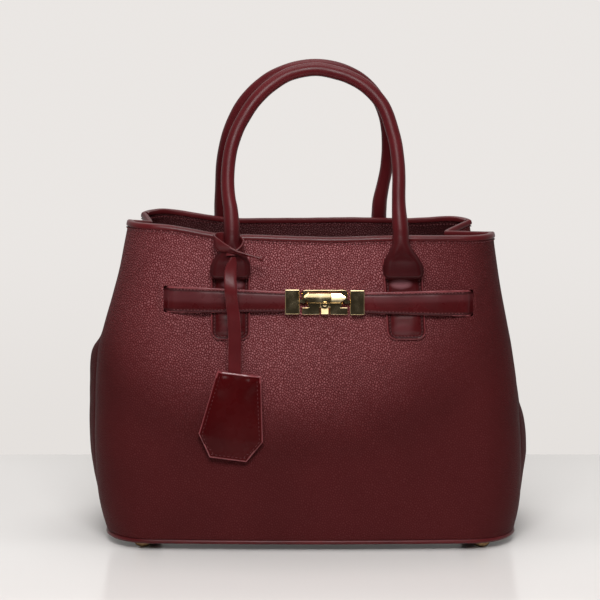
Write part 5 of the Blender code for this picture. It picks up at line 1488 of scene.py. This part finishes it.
def build_fob():
    """Two leaves, crowned over the lace's end, stitched along their sides, with painted edges."""
    drops = [0.0, 0.0004, 0.0010, 0.0018] + spaced(0.003, FOB_SHOULDER - 0.001, 40)
    drops += [FOB_SHOULDER, FOB_SHOULDER + 0.001] + spaced(FOB_SHOULDER + 0.0022, FOB_LENGTH - 0.0018, 14)
    drops += [FOB_LENGTH - 0.0010, FOB_LENGTH - 0.0004, FOB_LENGTH]
    columns = [-1.0, -0.985, -0.965, -0.93] + spaced(-0.89, 0.89, 37) + [0.93, 0.965, 0.985, 1.0]
    for label, side in (("front", FRONT), ("back", BACK)):
        outer = []
        inner = []
        for drop in drops:
            places = [column * fob_half_width(drop) + FOB_SHIFT for column in columns]
            inner.append([fob_point(x, -side * fob_apart(x, drop), drop) for x in places])
            outer.append([])
            for x in places:
                lift = fob_relief(x, drop, fob_inside(x - FOB_SHIFT, drop), side)
                outer[-1].append(fob_point(x, -side * (fob_apart(x, drop) + FOB_LEAF_THICKNESS + lift), drop))
        build = Build()
        build.shell(outer, inner)
        for route, setback in FOB_ROUTES:
            trail = []
            for (x0, d0), (x1, d1) in zip(route, route[1:]):
                for share in spaced(0.0, 1.0, 20):
                    x = lerp(x0, x1, share)
                    x -= math.copysign(setback, x)
                    x += FOB_SHIFT
                    drop = lerp(d0, d1, share)
                    drop -= FOB_STITCH_SETBACK * ease((drop - 0.060) / 0.004)
                    level = fob_apart(x, drop) + FOB_LEAF_THICKNESS - FOB_STITCH_SINK
                    trail.append((fob_point(x, -side * level, drop), Y_AXIS * side))
            stitch_line(build, trail, *FOB_STITCH, radius=FOB_THREAD_RADIUS)
        name = "fob_%s_leaf" % label
        leaf = build.make(name + "_leather", [GLAZED, PAINTED, THREAD, PAINTED_GROOVE_SHADE], "fob", (name,), 50)

        def margin(place):
            local = place - FOB_SEAT
            return fob_inside(local.dot(FOB_RIGHT) - FOB_SHIFT, -local.dot(FOB_UP))

        paint_edge(leaf, lambda place: margin(place) < FOB_EDGE)


# Metal

def build_turn_bar():
    """The polished bar: a long and a short facet that lean back, on a round hub with a stem."""
    out = skin_out(CLASP_X, BELT_HEIGHT, FRONT)
    up = X_AXIS.cross(out) * -1
    seat = skin_point(CLASP_X, BELT_HEIGHT, FRONT, 0.0) - up * PIVOT_DROP

    def at(x, depth, z):
        return seat + X_AXIS * x + out * depth + up * z

    build = Build()
    rings = []
    for x in BAR_STATIONS:
        beyond = clamp((abs(x) - (BAR_LENGTH / 2 - BAR_POINT)) / BAR_POINT)
        high = lerp(BAR_HEIGHT / 2, BAR_TIP_HEIGHT / 2, beyond)
        at_tip = abs(x) > BAR_LENGTH / 2 - 0.0004
        in_groove = abs(x - BAR_JOINT) < 0.0002
        lean, turn = (0.034, 0.010) if x < BAR_JOINT else (0.092, 0.030)
        top = BAR_RISE + high
        bottom = max(BAR_RISE - high, math.sqrt(max(0.0020 ** 2 - x * x, 0.0)))
        face_low = max(bottom + 0.0008 * (1 - beyond * 0.7), bottom + 0.0002)
        face_high = top - 0.0011 * (1 - beyond * 0.7)
        face = []
        for z in spaced(face_low, face_high, 5):
            rise = z - BAR_RISE + 0.0034
            depth = BAR_THICKNESS - rise * (lean + BAR_CROWN * (rise - 0.0034)) - (x - BAR_JOINT) * turn
            face.append((depth * 0.62 if at_tip else depth - 0.00035 * in_groove, z))
        section = [(0.0, bottom), (0.0019, bottom), *face, (0.0011, top), (0.0, top)]
        rings.append([at(x, BAR_LOW + depth, z) for depth, z in section])
    build.loft(rings)
    turned = []
    for step in range(40):
        angle = 2 * math.pi * step / 40
        turned.append([at(radius * math.cos(angle), BAR_LOW - drop, radius * math.sin(angle))
                       for radius, drop in HUB_PROFILE])
    build.loft(turned, closed=True)
    stem = []
    for z, drawn in ((-0.0073, 0.0003), (-0.0070, 0.0), (-0.0030, 0.0)):
        wide = STEM_WIDTH / 2
        face = BAR_LOW - 0.0004 - (z + 0.0070) * 0.15
        stem.append([at(x, depth, z) for x, depth in (
            (-wide + drawn, BAR_LOW - 0.0021), (wide - drawn, BAR_LOW - 0.0021), (wide - drawn, face - 0.0004),
            (wide - 0.0004, face), (-wide + 0.0004, face), (-wide + drawn, face - 0.0004))])
    build.loft(stem)
    build.make("clasp_bar_polished", [BRIGHT_GOLD], "turn_bar", ("clasp_turn_bar",), 5)


def finish_metal():
    """The carried-over CAD nodes keep their shape and get real finishes."""
    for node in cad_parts.values():
        label = node.data.materials[0].name.split(".")[0]
        node.data.materials[0] = CAD_FINISHES[label]
    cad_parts["clasp_post"].data.materials[0] = BRIGHT_GOLD


# Stage, light and camera

def placed(made, place):
    bpy.context.scene.collection.objects.link(made)
    made.location = place
    return made


def build_stage():
    """A pale table top; what lies beyond it is the studio's plain background."""
    paint = Paint("studio_table_finish")
    soft = paint.noise(2.2, 2.0)
    away = paint.parts(paint.place)[1]
    # Painted light: the table grows lighter from its front up to the bag and again towards its back edge, making
    # up for the bag's shadow and the lamps' falloff
    colour = paint.mix(paint.span(away, -0.19, -0.02), (0.745, 0.711, 0.693), (0.920, 0.890, 0.869))
    colour = paint.scaled(colour, paint.span(away, 0.06, 0.22, 1.0, 1.075))
    colour = paint.scaled(colour, paint.span(soft, 0.3, 0.7, 0.99, 1.01))
    paint.finished(Base_Color=colour, Roughness=paint.span(soft, 0.3, 0.7, 0.12, 0.16), Specular_IOR_Level=0.11,
                   Normal=paint.bump(paint.noise(3.0, 1.0), 0.0004, 0.1))
    across = (-TABLE_HALF_WIDTH, 0.0, TABLE_HALF_WIDTH)
    top = [[Vector((x, y, z)) for x in across] for y, z in TABLE_PROFILE]
    under = [[Vector((x, y, TABLE_BOTTOM)) for x in across] for y, _ in TABLE_PROFILE]
    table = Build()
    table.shell(top, under)
    table.make("studio_table", [paint.made])


def build_lamps():
    for name, place, target, size, watts in LAMPS:
        lamp = bpy.data.lights.new(name, "AREA")
        lamp.shape = "RECTANGLE"
        lamp.size, lamp.size_y = size
        lamp.energy = watts
        made = placed(bpy.data.objects.new(name, lamp), place)
        made.rotation_euler = (Vector(target) - Vector(place)).to_track_quat("-Z", "Y").to_euler()
        made.visible_camera = False


def build_world():
    """A pale studio, dim on the side that the bag's front faces; the camera sees its plain background."""
    world = bpy.data.worlds.new("studio_world")
    bpy.context.scene.world = world
    world.use_nodes = True
    sky = Nodes(world.node_tree)
    way = sky.coordinates["Generated"]
    front = sky.node("ShaderNodeVectorMath", {0: way, 1: (0.0, -0.995, 0.10)}, operation="DOT_PRODUCT")["Value"]
    shade = world.node_tree.nodes["Background"]
    sky.link((1.0, 0.985, 0.965), shade.inputs["Color"])
    sky.link(sky.span(front, -0.50, 0.60, 0.58, 0.025), shade.inputs["Strength"])
    fade = sky.mix(sky.span(sky.parts(way)["Z"], -0.235, -0.12), (0.782, 0.750, 0.724), (0.826, 0.796, 0.773))
    seen = sky.node("ShaderNodeBackground", {"Color": fade})[0]
    by_camera = sky.node("ShaderNodeLightPath")["Is Camera Ray"]
    mix = sky.node("ShaderNodeMixShader", {0: by_camera, 1: shade.outputs[0], 2: seen})[0]
    sky.link(mix, world.node_tree.nodes["World Output"].inputs["Surface"])


def build_camera():
    lens = bpy.data.cameras.new("photo_camera")
    lens.sensor_width = SENSOR_WIDTH
    lens.lens = FOCAL_LENGTH
    lens.clip_end = 50.0
    camera = placed(bpy.data.objects.new("photo_camera", lens), CAMERA_PLACE)
    camera.rotation_euler = (math.radians(90 - CAMERA_DIP), 0.0, 0.0)
    bpy.context.scene.camera = camera


def main():
    build_camera()
    build_stage()
    build_lamps()
    build_world()
    finish_metal()
    build_walls()
    build_bindings()
    build_facings()
    build_lining()
    build_bottom()
    build_handle("front", FRONT_HANDLE_X, FRONT_ARCH, FRONT)
    build_handle("back", BACK_HANDLE_X, BACK_ARCH, BACK)
    build_tabs()
    build_belts()
    build_lace_loop()
    build_lace_strap()
    build_fob()
    build_turn_bar()


main()
bpy.context.scene.view_settings.view_transform = "Standard"
